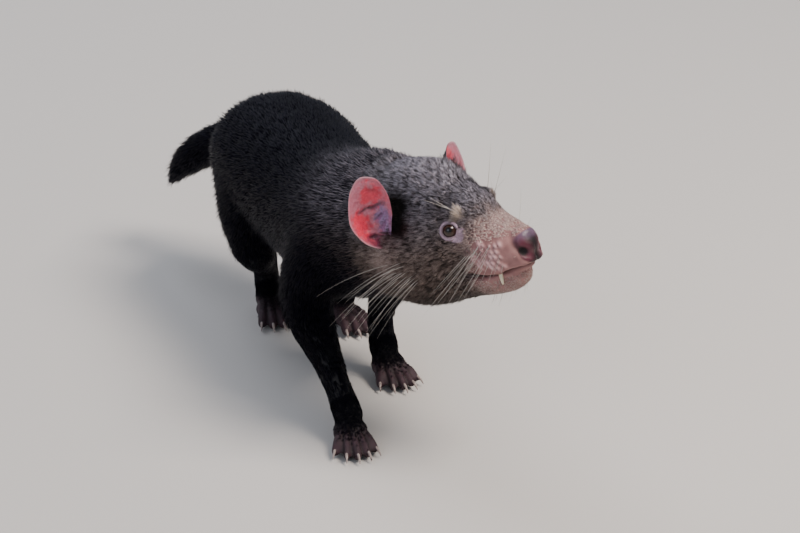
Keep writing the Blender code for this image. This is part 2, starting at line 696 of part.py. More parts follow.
def body():
    """Torso, tail and legs, parted by thin cuts."""
    legs = (FORELEG_RIGHT, FORELEG_LEFT, HINDLEG_RIGHT, HINDLEG_LEFT)
    forms = [tube(TRUNK, (1, 0, 0), segments=40), tube(TAIL, (1, 0, 0), segments=24)]
    forms += [tube(rows, (1, 0, 0)) for rows in legs]
    whole = fused("body", forms, BODY_VOXEL, 16)
    sparser(whole, BODY_TRIANGLES)
    cuts = [plate(NECK_REAR[0], NECK_REAR[1], 0.12), plate(TAIL_CUT[0], TAIL_CUT[1], 0.030)]
    for rows in legs:
        cuts.append(plate(Vector(rows[3][:3]) + Vector((0, 0, -0.001)), (0, 0, 1), 0.045))
        middle, normal = wrist(rows)
        cuts.append(plate(middle, normal, 0.025))
    boolean(whole, new_object("cutter", cuts))
    places = {"torso": (-0.006, 0.08, 0.13), "tail": (-0.06, 0.275, 0.11)}
    names = ("foreleg_right", "foreleg_left", "hindleg_right", "hindleg_left")
    for name, rows in zip(names, legs):
        places["lower_" + name] = np.mean([row[:3] for row in rows[4:6]], axis=0)
    named = named_parts(whole, places)
    regions = (SHOULDER_RIGHT, SHOULDER_LEFT, HAUNCH_RIGHT, HAUNCH_LEFT)
    for name, rows in zip(names, regions):
        upper = duplicate(named["torso"], "upper_" + name)
        inner = new_object("inner", [tube(rows, (1, 0, 0), steps=2, segments=18)])
        boolean(upper, inner, "INTERSECT")
        outer = new_object("outer", [tube(rows, (1, 0, 0), steps=2, segments=18, extra=GAP)])
        boolean(named["torso"], outer)
    return named


NECK_REAR = ((0.000, -0.082, 0.170), (0.12, -0.97, 0.21))
NECK_FRONT = (in_head(-0.029, 0, 0), head_way(0.985, -0.158, 0.0))
NECK_MIDDLE = (0.004, -0.094, 0.172)
TAIL_CUT = ((-0.026, 0.2655, 0.1345), (-0.55, 0.70, -0.42))


# Finish

COLOURS = {
    "coat": ((0.022, 0.018, 0.017, 1), 0.75),
    "face": ((0.09, 0.07, 0.06, 1), 0.7),
    "ear": ((0.42, 0.12, 0.12, 1), 0.6),
    "foot": ((0.07, 0.04, 0.045, 1), 0.65),
    "eye": ((0.012, 0.007, 0.005, 1), 0.12),
    "tooth": ((0.74, 0.68, 0.55, 1), 0.35),
    "whisker": ((0.50, 0.45, 0.40, 1), 0.40),
}


def finish(made, look):
    """Triangles, its largest closed surface only, its place and its own material."""
    mesh = made.data
    bm = bmesh.new()
    bm.from_mesh(mesh)
    bmesh.ops.remove_doubles(bm, verts=bm.verts, dist=0.00005)
    bmesh.ops.dissolve_degenerate(bm, edges=bm.edges, dist=0.00003)
    bmesh.ops.triangulate(bm, faces=bm.faces)
    bmesh.ops.recalc_face_normals(bm, faces=bm.faces)
    bm.to_mesh(mesh)
    bm.free()
    name = made.name
    parts = loose_parts(made)
    parts.sort(key=lambda part: -len(part.data.polygons))
    for part in parts[1:]:
        bpy.data.objects.remove(part)
    kept = parts[0]
    kept.name = name
    kept.data.name = name
    kept.data.transform(Matrix.Translation(SHIFT))
    colour, rough = COLOURS[look]
    material = bpy.data.materials.new(name)
    material.use_nodes = True
    shader = material.node_tree.nodes["Principled BSDF"]
    shader.inputs["Base Color"].default_value = colour
    shader.inputs["Roughness"].default_value = rough
    kept.data.materials.clear()
    kept.data.materials.append(material)
    return kept


def main():
    for old in list(bpy.data.objects):
        bpy.data.objects.remove(old)
    looks = {}
    heads = head_and_neck()
    for name, made in heads.items():
        looks[made] = "coat" if name == "neck" else "face"
    for ear in ears((heads["head"], heads["neck"])):
        looks[ear] = "ear"
    for bristle in brow_whiskers(heads["head"]):
        looks[bristle] = "whisker"
    for made in body().values():
        looks[made] = "coat"
    for made in [o for o in bpy.data.objects if o.name.startswith("upper_")]:
        looks[made] = "coat"
    for name, rows, heading, toes, sole in (
        ("forefoot_right", FORELEG_RIGHT, math.radians(-7), FORE_TOES, FORE_SOLE),
        ("forefoot_left", FORELEG_LEFT, math.radians(6), FORE_TOES, FORE_SOLE),
        ("hindfoot_right", HINDLEG_RIGHT, math.radians(-6), HIND_TOES, HIND_SOLE),
        ("hindfoot_left", HINDLEG_LEFT, math.radians(8), HIND_TOES, HIND_SOLE),
    ):
        looks[foot(name, rows, heading, toes, sole)] = "foot"
    for side, word in ((-1, "right"), (1, "left")):
        eye = in_head(EYE[0], side * EYE[1], EYE[2])
        looks[new_object("eye_" + word, [eyeball(eye, EYE_RADIUS)])] = "eye"
        looks[new_object("canine_" + word, [canine(side)])] = "tooth"
    for made, look in looks.items():
        finish(made, look)


main()
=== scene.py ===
"""A Tasmanian devil walking with its head turned: skin, coat, ears, eyes, teeth, claws, whiskers.

Everything is in metres, +Z up, +X the animal's left and -Y ahead of its trunk.
"""
import math

import bpy
import bmesh
import numpy as np
from mathutils import Matrix, Vector, noise
from mathutils.bvhtree import BVHTree


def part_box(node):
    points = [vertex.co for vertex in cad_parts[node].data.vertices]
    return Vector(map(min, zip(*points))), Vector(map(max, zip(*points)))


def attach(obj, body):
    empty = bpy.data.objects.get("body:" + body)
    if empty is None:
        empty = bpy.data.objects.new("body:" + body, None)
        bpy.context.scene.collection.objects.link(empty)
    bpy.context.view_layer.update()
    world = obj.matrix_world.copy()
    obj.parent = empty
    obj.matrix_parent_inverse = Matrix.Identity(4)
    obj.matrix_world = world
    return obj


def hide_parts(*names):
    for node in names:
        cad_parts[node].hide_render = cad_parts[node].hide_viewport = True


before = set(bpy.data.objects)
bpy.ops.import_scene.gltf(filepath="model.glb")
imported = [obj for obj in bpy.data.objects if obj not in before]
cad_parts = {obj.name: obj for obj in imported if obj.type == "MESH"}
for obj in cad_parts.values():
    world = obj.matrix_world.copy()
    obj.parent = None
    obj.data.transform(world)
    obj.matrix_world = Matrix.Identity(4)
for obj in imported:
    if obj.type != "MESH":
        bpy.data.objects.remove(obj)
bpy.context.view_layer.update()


# The studio: a pale plain floor under a soft pale sky, one broad lamp high on the animal's left
# and a weak one on its right. The camera looks down at it from ahead of its right shoulder.
AIM = Vector((-0.0503, -0.1981, 0.0))       # toes of the right forefoot
AIM_ACROSS, AIM_DOWN = -43, 183.5           # where they lie from the picture's middle, in pixels
PICTURE_WIDTH = 800
FOCAL_PIXELS = 4050
AZIMUTH, ELEVATION, DISTANCE = math.radians(-18), math.radians(26), 3.45


def hex_colour(code, alpha=1.0):
    """An sRGB hex value as linear colour."""
    parts = [int(code[i:i + 2], 16) / 255 for i in (1, 3, 5)]
    return [p / 12.92 if p <= 0.04045 else ((p + 0.055) / 1.055) ** 2.4 for p in parts] + [alpha]


def add(tree, kind, inputs=(), **settings):
    """A node with its settings; each input, by name or number, takes a value or another's socket."""
    node = tree.nodes.new(kind)
    for key, value in settings.items():
        setattr(node, key, value)
    for key, value in dict(inputs).items():
        if isinstance(value, bpy.types.NodeSocket):
            tree.links.new(value, node.inputs[key])
        else:
            node.inputs[key].default_value = value
    return node


def new_finish(name):
    """A new material with its tree, shader and nothing else."""
    finish = bpy.data.materials.new(name)
    finish.use_nodes = True
    return finish, finish.node_tree, finish.node_tree.nodes["Principled BSDF"]


def linked(name, mesh):
    """The mesh as a new object of the scene, shaded smooth."""
    mesh.name = name
    made = bpy.data.objects.new(name, mesh)
    bpy.context.scene.collection.objects.link(made)
    mesh.polygons.foreach_set("use_smooth", [True] * len(mesh.polygons))
    return made


def mesh_of(name, points, faces):
    mesh = bpy.data.meshes.new(name)
    mesh.from_pydata([tuple(p) for p in points], [], faces)
    mesh.update()
    return mesh


floor = linked("floor", mesh_of("floor", [(-9, -9, 0), (9, -9, 0), (9, 9, 0), (-9, 9, 0)], [(0, 1, 2, 3)]))
floor_paint, tree, shader = new_finish("matt_floor_paint")
grain = add(tree, "ShaderNodeTexNoise", {"Scale": 3.0, "Detail": 4.0})
tint = add(tree, "ShaderNodeMix", {0: grain.outputs[0], 6: hex_colour("#c9c6c1"), 7: hex_colour("#cfccc7")},
           data_type="RGBA")
tree.links.new(tint.outputs[2], shader.inputs["Base Color"])
shader.inputs["Roughness"].default_value = 0.85
floor.data.materials.append(floor_paint)

sky = bpy.data.worlds.new("studio_sky")
sky.use_nodes = True
sky.node_tree.nodes["Background"].inputs[0].default_value = hex_colour("#dfe4ee")
sky.node_tree.nodes["Background"].inputs[1].default_value = 0.45
bpy.context.scene.world = sky

for name, place, size, power, colour in (
    ("key_lamp", (1.1, -1.0, 2.3), 1.1, 94, "#fff2e8"),
    ("fill_lamp", (-2.2, -1.8, 1.5), 2.0, 22, "#e6ecff"),
    ("back_lamp", (-0.4, 2.0, 2.2), 1.6, 34, "#eef2ff"),
):
    lamp = bpy.data.lights.new(name, "AREA")
    lamp.size, lamp.energy, lamp.color = size, power, hex_colour(colour)[:3]
    holder = bpy.data.objects.new(name, lamp)
    holder.location = place
    holder.rotation_euler = (Vector((0, -0.05, 0.15)) - Vector(place)).to_track_quat("-Z", "Y").to_euler()
    bpy.context.scene.collection.objects.link(holder)

lens = bpy.data.cameras.new("camera")
lens.sensor_width = 36
lens.lens = lens.sensor_width * FOCAL_PIXELS / PICTURE_WIDTH
lens.clip_end = 40
camera = bpy.data.objects.new("camera", lens)
down = ELEVATION - math.atan(AIM_DOWN / FOCAL_PIXELS)
turn = AZIMUTH - math.atan(-AIM_ACROSS / FOCAL_PIXELS) / math.cos(down)
camera.rotation_euler = (math.pi / 2 - down, 0, turn)
camera.location = AIM + DISTANCE * Vector((
    math.sin(AZIMUTH) * math.cos(ELEVATION), -math.cos(AZIMUTH) * math.cos(ELEVATION), math.sin(ELEVATION)))
bpy.context.scene.collection.objects.link(camera)
bpy.context.scene.camera = camera


# The skin: one closed hide over head, trunk, legs and tail. It is stretched over the solids' own
# forms, drawn in under the coat by the depth of the hair, and bare on nose, lips, lids and toes.
SIDES = ("right", "left")
LEG_PARTS = ("upper_foreleg", "lower_foreleg", "forefoot", "upper_hindleg", "lower_hindleg", "hindfoot")
FLESH = ["head", "jaw", "neck", "torso", "tail"] + [f"{part}_{side}" for part in LEG_PARTS for side in SIDES]
SWELL = 0.0004          # closes the gaps between the solids before they are fused
SKIN_GRAIN = 0.0016
KEPT_SHARE = 0.42       # of the fused surface's triangles, fewest under the long coat
HEAD_MIDDLE = Vector((0.0177, -0.1801, 0.182))
EYE_RADIUS = 0.0074
EYE_LOOK = (0.55, 0.78, 0.30)
LID_MIDDLE = (0.0566, 0.0262, 0.0130)       # of the bare skin round the eye, in the head's axes
HEAD_YAW, HEAD_PITCH, HEAD_ROLL = math.radians(30.4), math.radians(16.0), math.radians(-2.4)
# Hair length and the depth of the coat over the skin, in millimetres
HAIR = {
    "head": (6.0, 2.3), "jaw": (4.0, 1.0), "neck": (13.0, 4.2), "torso": (15.0, 5.0), "tail": (14.0, 3.6),
    "upper_foreleg": (12.0, 3.6), "lower_foreleg": (8.0, 2.0), "forefoot": (2.6, 0.3),
    "upper_hindleg": (12.0, 3.8), "lower_hindleg": (8.0, 2.0), "hindfoot": (2.6, 0.3),
}


def head_axes():
    """Forward, left and up of the head as the rows of an array."""
    level = math.cos(HEAD_PITCH)
    forward = Vector((math.sin(HEAD_YAW) * level, -math.cos(HEAD_YAW) * level, math.sin(HEAD_PITCH)))
    left = Vector((math.cos(HEAD_YAW), math.sin(HEAD_YAW), 0.0))
    left = Matrix.Rotation(-HEAD_ROLL, 3, forward) @ left
    return np.array([forward, left, forward.cross(left)])


HEAD_AXES = head_axes()


def head_way(*local):
    return Vector(np.array(local) @ HEAD_AXES)


def in_head(*local):
    """The place of a point given forward, left and up of the head's middle."""
    return HEAD_MIDDLE + head_way(*local)


def local_to_head(points):
    return (points - np.array(HEAD_MIDDLE)) @ HEAD_AXES.T


def node_middle(name):
    low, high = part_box(name)
    return (low + high) / 2


def array_of(mesh, what="co"):
    values = np.empty(len(mesh.vertices) * 3, np.float32)
    mesh.vertices.foreach_get(what, values)
    return values.reshape(-1, 3).astype(float)


def move_to(mesh, points):
    mesh.vertices.foreach_set("co", np.asarray(points, np.float32).ravel())
    mesh.update()


def plain_mesh(made):
    """What the object's modifiers make, as a mesh of its own."""
    return bpy.data.meshes.new_from_object(made.evaluated_get(bpy.context.evaluated_depsgraph_get()))


def fused_flesh():
    """The solids of flesh as one closed mesh, and which of them each of its points lies on."""
    whole = bmesh.new()
    owner = []
    for number, name in enumerate(FLESH):
        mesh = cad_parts[name].data.copy()
        one = bmesh.new()
        one.from_mesh(mesh)
        bmesh.ops.remove_doubles(one, verts=one.verts, dist=1e-6)
        one.normal_update()
        for v in one.verts:
            v.co += v.normal * SWELL
        one.to_mesh(mesh)
        one.free()
        whole.from_mesh(mesh)
        owner += [number] * (len(whole.faces) - len(owner))
        bpy.data.meshes.remove(mesh)
    lookup = BVHTree.FromBMesh(whole)
    mesh = bpy.data.meshes.new("flesh")
    whole.to_mesh(mesh)
    whole.free()
    flesh = linked("flesh", mesh)
    remesh = flesh.modifiers.new("fuse", "REMESH")
    remesh.mode, remesh.voxel_size = "VOXEL", SKIN_GRAIN
    fused = plain_mesh(flesh)
    keep_largest(fused)
    flesh.modifiers.clear()
    flesh.data = fused
    coarse = {FLESH.index(name) for name in FLESH if name.startswith(("torso", "neck", "tail", "upper"))}
    under_coat = [v.index for v in fused.vertices if owner[lookup.find_nearest(v.co)[2]] in coarse]
    flesh.vertex_groups.new(name="under_coat").add(under_coat, 1.0, "ADD")
    sparser = flesh.modifiers.new("sparser", "DECIMATE")
    sparser.ratio, sparser.vertex_group, sparser.vertex_group_factor = KEPT_SHARE, "under_coat", 8
    skin = plain_mesh(flesh)
    bpy.data.objects.remove(flesh)
    finer(skin, FINE_FROM)
    owners = np.array([owner[lookup.find_nearest(v.co)[2]] for v in skin.vertices])
    return skin, owners


def keep_largest(mesh):
    """Drops every closed surface but the one with the most points."""
    shape = bmesh.new()
    shape.from_mesh(mesh)
    left, pieces = set(shape.verts), []
    while left:
        stack = [left.pop()]
        piece = list(stack)
        while stack:
            for edge in stack.pop().link_edges:
                for v in edge.verts:
                    if v in left:
                        left.remove(v)
                        stack.append(v)
                        piece.append(v)
        pieces.append(piece)
    pieces.sort(key=len)
    bmesh.ops.delete(shape, geom=[v for piece in pieces[:-1] for v in piece], context="VERTS")
    shape.to_mesh(mesh)
    shape.free()


FINE_FROM = 0.046       # how far forward of the head's middle the face is made finer


def finer(mesh, start):
    """Splits the face's edges in two so that lids, lips and nostrils can be shaped."""
    shape = bmesh.new()
    shape.from_mesh(mesh)
    forward = Vector(HEAD_AXES[0])
    ahead = {v for v in shape.verts if (v.co - HEAD_MIDDLE).dot(forward) > start}
    edges = [e for e in shape.edges if e.verts[0] in ahead and e.verts[1] in ahead]
    bmesh.ops.subdivide_edges(shape, edges=edges, cuts=1, use_grid_fill=True)
    bmesh.ops.triangulate(shape, faces=[face for face in shape.faces if len(face.verts) > 3])
    shape.to_mesh(mesh)
    shape.free()


def edges_of(mesh):
    pairs = np.empty(len(mesh.edges) * 2, np.int32)
    mesh.edges.foreach_get("vertices", pairs)
    return pairs.reshape(-1, 2)


def evened(values, pairs, rounds, share=0.5):
    """The values drawn towards their neighbours' mean, over and over. share may differ by point."""
    count = len(values)
    values = values.reshape(count, -1).astype(float)
    both = np.concatenate((pairs[:, 0], pairs[:, 1]))
    other = np.concatenate((pairs[:, 1], pairs[:, 0]))
    degree = np.maximum(np.bincount(both, minlength=count), 1)
    share = np.broadcast_to(np.asarray(share, float).reshape(-1, 1), (count, 1))
    for _ in range(rounds):
        mean = np.stack([np.bincount(both, column[other], count) / degree for column in values.T], 1)
        values = values + (mean - values) * share
    return values


def bump(distance, width):
    return np.exp(-(distance / width) ** 2)


def ramp(value, low, high):
    """0 below low, 1 above high and a soft rise between."""
    t = np.clip((value - low) / (high - low), 0, 1)
    return t * t * (3 - 2 * t)


skin_mesh, owners = fused_flesh()
pairs = edges_of(skin_mesh)
points = array_of(skin_mesh)
kind = [name.rsplit("_", 1)[0] if name.endswith(SIDES) else name for name in FLESH]
on_body = np.array([k in ("torso", "neck", "tail", "upper_foreleg", "upper_hindleg") for k in kind])[owners]
on_head = np.array([k in ("head", "jaw") for k in kind])[owners].astype(float)
points = evened(points, pairs, 8, np.where(on_body, 0.5, 0.25))
points = evened(points, pairs, 12, np.where(on_body, 0.5, 0.0))

# The lie of the hair: back along head and trunk, down the legs and out along the tail
LIE = {"head": head_way(-1, 0, -0.12), "jaw": head_way(-1, 0, -0.25), "neck": Vector((-0.1, 1, -0.35)),
       "torso": Vector((0, 1, -0.22)), "tail": Vector((-0.35, 0.55, -0.75))}
for side in SIDES:
    for end in ("fore", "hind"):
        upper, lower, foot = (f"{part}_{side}" for part in (f"upper_{end}leg", f"lower_{end}leg", f"{end}foot"))
        LIE[upper] = (node_middle(lower) - node_middle(upper)).normalized() + Vector((0, 0.5, 0))
        LIE[lower] = (node_middle(foot) - node_middle(lower)).normalized() + Vector((0, 0.1, 0))
        LIE[foot] = Vector((0, -1, -0.45))
lie = np.array([LIE[name].normalized() for name in FLESH])[owners]
hair = np.array([HAIR[k][0] / 1000 for k in kind])[owners]
depth = np.array([HAIR[k][1] / 1000 for k in kind])[owners]
crown = evened(on_head, pairs, 30)[:, 0]
drawn = evened(np.column_stack((lie, hair, depth)), pairs, 90)
lie, hair, depth = drawn[:, :3], drawn[:, 3], drawn[:, 4]

# Where the head's hair is shorter and thinner: the muzzle, the lids and the lips
local = local_to_head(points)
f, across, u = local.T
face = ramp(f, 0.030, 0.095) * on_head
bare_nose = ramp(f, 0.1015, 0.1060) * on_head
eye_middle = {side: node_middle(f"eye_{side}") for side in SIDES}
to_lid = np.stack((f, np.abs(across), u + 0.35 * (f - LID_MIDDLE[0])), 1) - LID_MIDDLE
drift = np.array([noise.noise(Vector(p) * 140) for p in points])
from_lid = np.linalg.norm(to_lid * (0.88, 1, 1.08), axis=1) + 0.0022 * drift
bare_lid = (1 - ramp(from_lid, 0.0100, 0.0124)) * on_head
hair = hair * (1 - 0.60 * face)
depth = depth * (1 - 0.80 * face) * (1 - bare_nose) * (1 - bare_lid)
move_to(skin_mesh, points)
points = points - array_of(skin_mesh, "normal") * depth[:, None]
points[:, 2] = np.maximum(points[:, 2], 0.0)

# Grooves between the toes, which fan out from the wrist or ankle
FEET = {                # middle of the wrist or ankle over the floor, and heading from straight ahead
    "forefoot_right": (-0.0523, -0.1791, -7), "forefoot_left": (0.0197, -0.0591, 6),
    "hindfoot_right": (-0.0373, 0.1019, -6), "hindfoot_left": (0.0207, 0.0649, 8),
}
FORE_TOES = ((-0.0170, 0.029), (-0.0092, 0.038), (0.0, 0.041), (0.0092, 0.038), (0.0168, 0.030))
HIND_TOES = ((-0.0140, 0.037), (-0.0048, 0.042), (0.0048, 0.042), (0.0136, 0.036))
groove = np.zeros(len(points))
for name, (x, y, heading) in FEET.items():
    c, s = math.cos(math.radians(heading)), math.sin(math.radians(heading))
    sideways = (points[:, 0] - x) * c + (points[:, 1] - y) * s
    ahead = (points[:, 0] - x) * s - (points[:, 1] - y) * c
    fan = 1 - 0.45 * (0.040 - ahead) / 0.028
    toes_here = FORE_TOES if "fore" in name else HIND_TOES
    for (one, _), (other, _) in zip(toes_here, toes_here[1:]):
        line = bump(sideways - (one + other) / 2 * fan, 0.0012) * ramp(ahead, 0.010, 0.020)
        groove = np.maximum(groove, line * (owners == FLESH.index(name)) * (points[:, 2] > 0.002))

# The face's own relief, in the head's axes and alike on both sides: a grooved mouth between
# rounded lips, comma-shaped nostrils in a leathery pad, and the whisker pad's rows of mounds
MOUTH = ((0.108, -0.0243), (0.098, -0.0262), (0.088, -0.0280), (0.076, -0.0285), (0.064, -0.0272),
         (0.055, -0.0260))
NOSTRIL = np.array((0.1130, 0.0102, -0.0100))
NOSE_HEIGHT, NOSE_HALF = -0.0088, (0.0142, 0.0134)      # the pad's middle, and its half width and height
WHISKER_ROWS = ((-0.0025, 5), (-0.0070, 7), (-0.0115, 8), (-0.0160, 8), (-0.0205, 6))
WHISKER_STEP = 0.0046
mirrored = np.stack((f, np.abs(across), u), 1)
mouth_at, mouth_height = np.array(MOUTH[::-1]).T
off_mouth = u - np.interp(f, mouth_at, mouth_height)
on_mouth = ramp(f, 0.050, 0.062) * (np.abs(across) < 0.045) * on_head
shift = -0.0016 * groove + on_mouth * (0.0009 * bump(off_mouth - 0.0027, 0.0020) + 0.0008 * bump(off_mouth + 0.0031, 0.0021)
                    - 0.0019 * bump(off_mouth, 0.0009))
to_hole = mirrored - NOSTRIL
to_hole[:, 0] += 0.45 * to_hole[:, 2]
nostril = bump(np.linalg.norm(to_hole * (0.85, 0.65, 0.55), axis=1), 0.0033) * on_head
wing = bump(np.linalg.norm(mirrored - NOSTRIL - (-0.0005, 0.0022, 0.0036), axis=1), 0.0022) * on_head
shift += 0.0010 * wing - 0.0042 * nostril
shift += 0.0024 * bump(np.linalg.norm(mirrored - (0.0900, 0.0180, -0.0262), axis=1), 0.0038) * on_head
shift -= 0.0012 * bump(across, 0.0008) * bump(u + 0.0165, 0.0060) * ramp(f, 0.100, 0.106) * on_head
over_pad = (np.abs(across / NOSE_HALF[0])**2.5 + np.abs((u - NOSE_HEIGHT) / NOSE_HALF[1])**2.5) ** 0.4
nose_pad = (1 - ramp(over_pad, 0.97, 1.07)) * ramp(f, 0.1000, 0.1035) * on_head
shift -= 0.0006 * bump(over_pad - 1.08, 0.08) * ramp(f, 0.098, 0.104) * on_head
draw = np.random.default_rng(5)
follicles = []
for row, (height, count) in enumerate(WHISKER_ROWS):
    for step in range(count):
        follicles.append((0.0990 - WHISKER_STEP * (step + 0.5 * (row % 2) + draw.uniform(-0.28, 0.28)),
                          height + 0.0005 * step + draw.uniform(-0.0009, 0.0009), draw.uniform(0.6, 1.15)))
hollow = np.maximum(bump(np.linalg.norm(mirrored - (0.0180, 0.0450, 0.0420), axis=1), 0.0120),
                    bump(np.linalg.norm(mirrored - (0.0165, 0.0490, 0.0250), axis=1), 0.0120)) * on_head
shift -= 0.0040 * hollow
on_pad = (np.abs(across) > 0.006) * on_head
follicle, mound = np.zeros(len(points)), np.zeros(len(points))
for forward, height, size in follicles:
    run, rise = f - forward + 0.4 * (u - height), u - height
    mound = np.maximum(mound, size * bump(np.hypot(run * 1.15, rise * 0.8), 0.0023 * size) * on_pad)
    follicle = np.maximum(follicle, bump(np.hypot(f - forward + 0.0009, rise + 0.0007), 0.0006) * on_pad)
shift += 0.0018 * mound
points = points + array_of(skin_mesh, "normal") * shift[:, None]
eye_look = {side: head_way(EYE_LOOK[0], EYE_LOOK[1] * (1 if side == "left" else -1), EYE_LOOK[2]).normalized()
            for side in SIDES}
for side in SIDES:
    away = points - np.array(eye_middle[side])
    distance = np.linalg.norm(away, axis=1)
    angle = np.arccos(np.clip(away @ np.array(eye_look[side]) / np.maximum(distance, 1e-6), -1, 1))
    sunk = (1 - ramp(angle, 1.00, 1.22)) * (distance < EYE_RADIUS + 0.006)
    wanted = distance + (EYE_RADIUS - 0.0022 - distance) * sunk
    points = np.array(eye_middle[side]) + away * (wanted / np.maximum(distance, 1e-6))[:, None]
move_to(skin_mesh, points)


def set_values(mesh, name, values, kind="FLOAT", domain="POINT"):
    """Stores a value for each point or face of a mesh as a named attribute."""
    layer = mesh.attributes.new(name, kind, domain)
    layer.data.foreach_set("vector" if kind == "FLOAT_VECTOR" else "value", np.asarray(values).ravel())


skin = linked("skin", skin_mesh)


def unwrap(made):
    """Gives a mesh the map that its tufts take their places from."""
    made.data.uv_layers.new(name="unwrap")
    bpy.context.view_layer.objects.active = made
    made.select_set(True)
    bpy.ops.object.mode_set(mode="EDIT")
    bpy.ops.mesh.select_all(action="SELECT")
    bpy.ops.uv.smart_project(angle_limit=math.radians(66), island_margin=0.001)
    bpy.ops.object.mode_set(mode="OBJECT")
    made.select_set(False)


unwrap(skin)
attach(skin, "root")
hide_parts(*FLESH)


def seen(tree, name, output="Fac"):
    """A socket with the surface's own named value."""
    return add(tree, "ShaderNodeAttribute", attribute_name=name).outputs[output]


def blended(tree, share, first, second):
    """A colour socket between two colours or sockets, by share."""
    return add(tree, "ShaderNodeMix", {0: share, 6: first, 7: second}, data_type="RGBA").outputs[2]


# Living skin under and beside the coat: soft, finely pored, dark where the coat is black
hide, tree, shader = new_finish("living_skin")
place = add(tree, "ShaderNodeTexCoord").outputs["Object"]
pores = add(tree, "ShaderNodeTexNoise", {"Vector": place, "Scale": 900.0, "Detail": 3.0})
mottle = add(tree, "ShaderNodeTexNoise", {"Vector": place, "Scale": 130.0, "Detail": 4.0})
black_skin = blended(tree, mottle.outputs[0], hex_colour("#030305"), hex_colour("#09080c"))
brown_skin = blended(tree, mottle.outputs[0], hex_colour("#151012"), hex_colour("#2a2023"))
pink_skin = blended(tree, mottle.outputs[0], hex_colour("#6a4444"), hex_colour("#ad807c"))
pale_skin = blended(tree, mottle.outputs[0], hex_colour("#a97f7f"), hex_colour("#e2bcbc"))
lid_skin = blended(tree, pores.outputs[0], hex_colour("#33203a"), hex_colour("#dcbfd0"))
nose_front = blended(tree, mottle.outputs[0], hex_colour("#050404"), hex_colour("#120e0d"))
# The nose's top is lighter and slate-violet: partly the pad's own colour, partly a painted reflection of the sky
nose_top_and_sky_sheen = blended(tree, mottle.outputs[0], hex_colour("#382b3a"), hex_colour("#735c74"))
nose_skin = blended(tree, seen(tree, "slate_and_sky_sheen"), nose_front, nose_top_and_sky_sheen)
colour = blended(tree, seen(tree, "crown"), black_skin, brown_skin)
colour = blended(tree, seen(tree, "pink"), colour, pink_skin)
colour = blended(tree, seen(tree, "mound"), colour, pale_skin)
colour = blended(tree, seen(tree, "toes"), colour, blended(
    tree, mottle.outputs[0], hex_colour("#150a10"), hex_colour("#40242f")))
colour = blended(tree, seen(tree, "nose"), colour, nose_skin)
colour = blended(tree, seen(tree, "nostril_rim"), colour, blended(
    tree, mottle.outputs[0], hex_colour("#551528"), hex_colour("#b24f6b")))
colour = blended(tree, seen(tree, "lid"), colour, lid_skin)
# Painted shade, nearly black, in the nostrils, the grooves between the toes, the whisker follicles, the mouth line and
# along the lids' edges
colour = blended(tree, seen(tree, "painted_crease_shade"), colour, hex_colour("#140709"))
tree.links.new(colour, shader.inputs["Base Color"])
cobbles = add(tree, "ShaderNodeTexVoronoi", {"Vector": place, "Scale": 1100.0})
leather = add(tree, "ShaderNodeMix", {0: seen(tree, "nose"), 2: pores.outputs[0], 3: cobbles.outputs[0]})
relief = add(tree, "ShaderNodeBump", {"Height": leather.outputs[0], "Strength": 0.45, "Distance": 0.0003})
tree.links.new(relief.outputs[0], shader.inputs["Normal"])
damp = add(tree, "ShaderNodeMath", {0: seen(tree, "nose"), 1: seen(tree, "painted_crease_shade")}, operation="SUBTRACT")
wet = add(tree, "ShaderNodeMapRange", {"Value": damp.outputs[0], "To Min": 0.72, "To Max": 0.34})
tree.links.new(wet.outputs[0], shader.inputs["Roughness"])
shader.inputs["Subsurface Weight"].default_value = 0.08
shader.inputs["Subsurface Radius"].default_value = (0.004, 0.0015, 0.001)
skin_mesh.materials.append(hide)

muzzle = ramp(f - 0.017 * ramp(u, 0.008, 0.028) + 0.004 * ramp(-u, 0.004, 0.020) + 0.010 * drift,
              0.055, 0.084) * on_head
pink = muzzle * (1 - 0.25 * ramp(u, -0.002, 0.012))
lips = bump(off_mouth, 0.0040) * on_mouth * ramp(f, 0.060, 0.075)
toes = evened(np.array([1.0 if k.endswith("foot") else 0.0 for k in kind])[owners], pairs, 20)[:, 0]
toes = toes * ramp(-points[:, 2], -0.024, -0.012)


def near(place, width):
    """How near each of the skin's points is to a place on either side of the head, from 0 to 1."""
    return bump(np.linalg.norm(mirrored - np.array(place), axis=1), width) * on_head


# Markings and painted shade: a cream tuft over each eye, painted shade as black hair before it and over the eye,
# painted shade as black hair in the hollow ahead of each ear and round its base, a tan patch beneath each ear, grizzled
# brown on the crown that fades over cheeks and neck
cream = np.maximum(near((0.0655, 0.0250, 0.0245), 0.0031), near((0.0665, 0.0235, 0.0290), 0.0031))
cream = cream * np.where(across > 0, 0.45, 1.0)
ruff = np.maximum.reduce((
    near((0.0080, 0.0450, 0.0400), 0.0110), 0.6 * near((0.0080, 0.0470, 0.0300), 0.0090),
    near((0.0180, 0.0350, 0.0470), 0.0130) * (across > 0)))
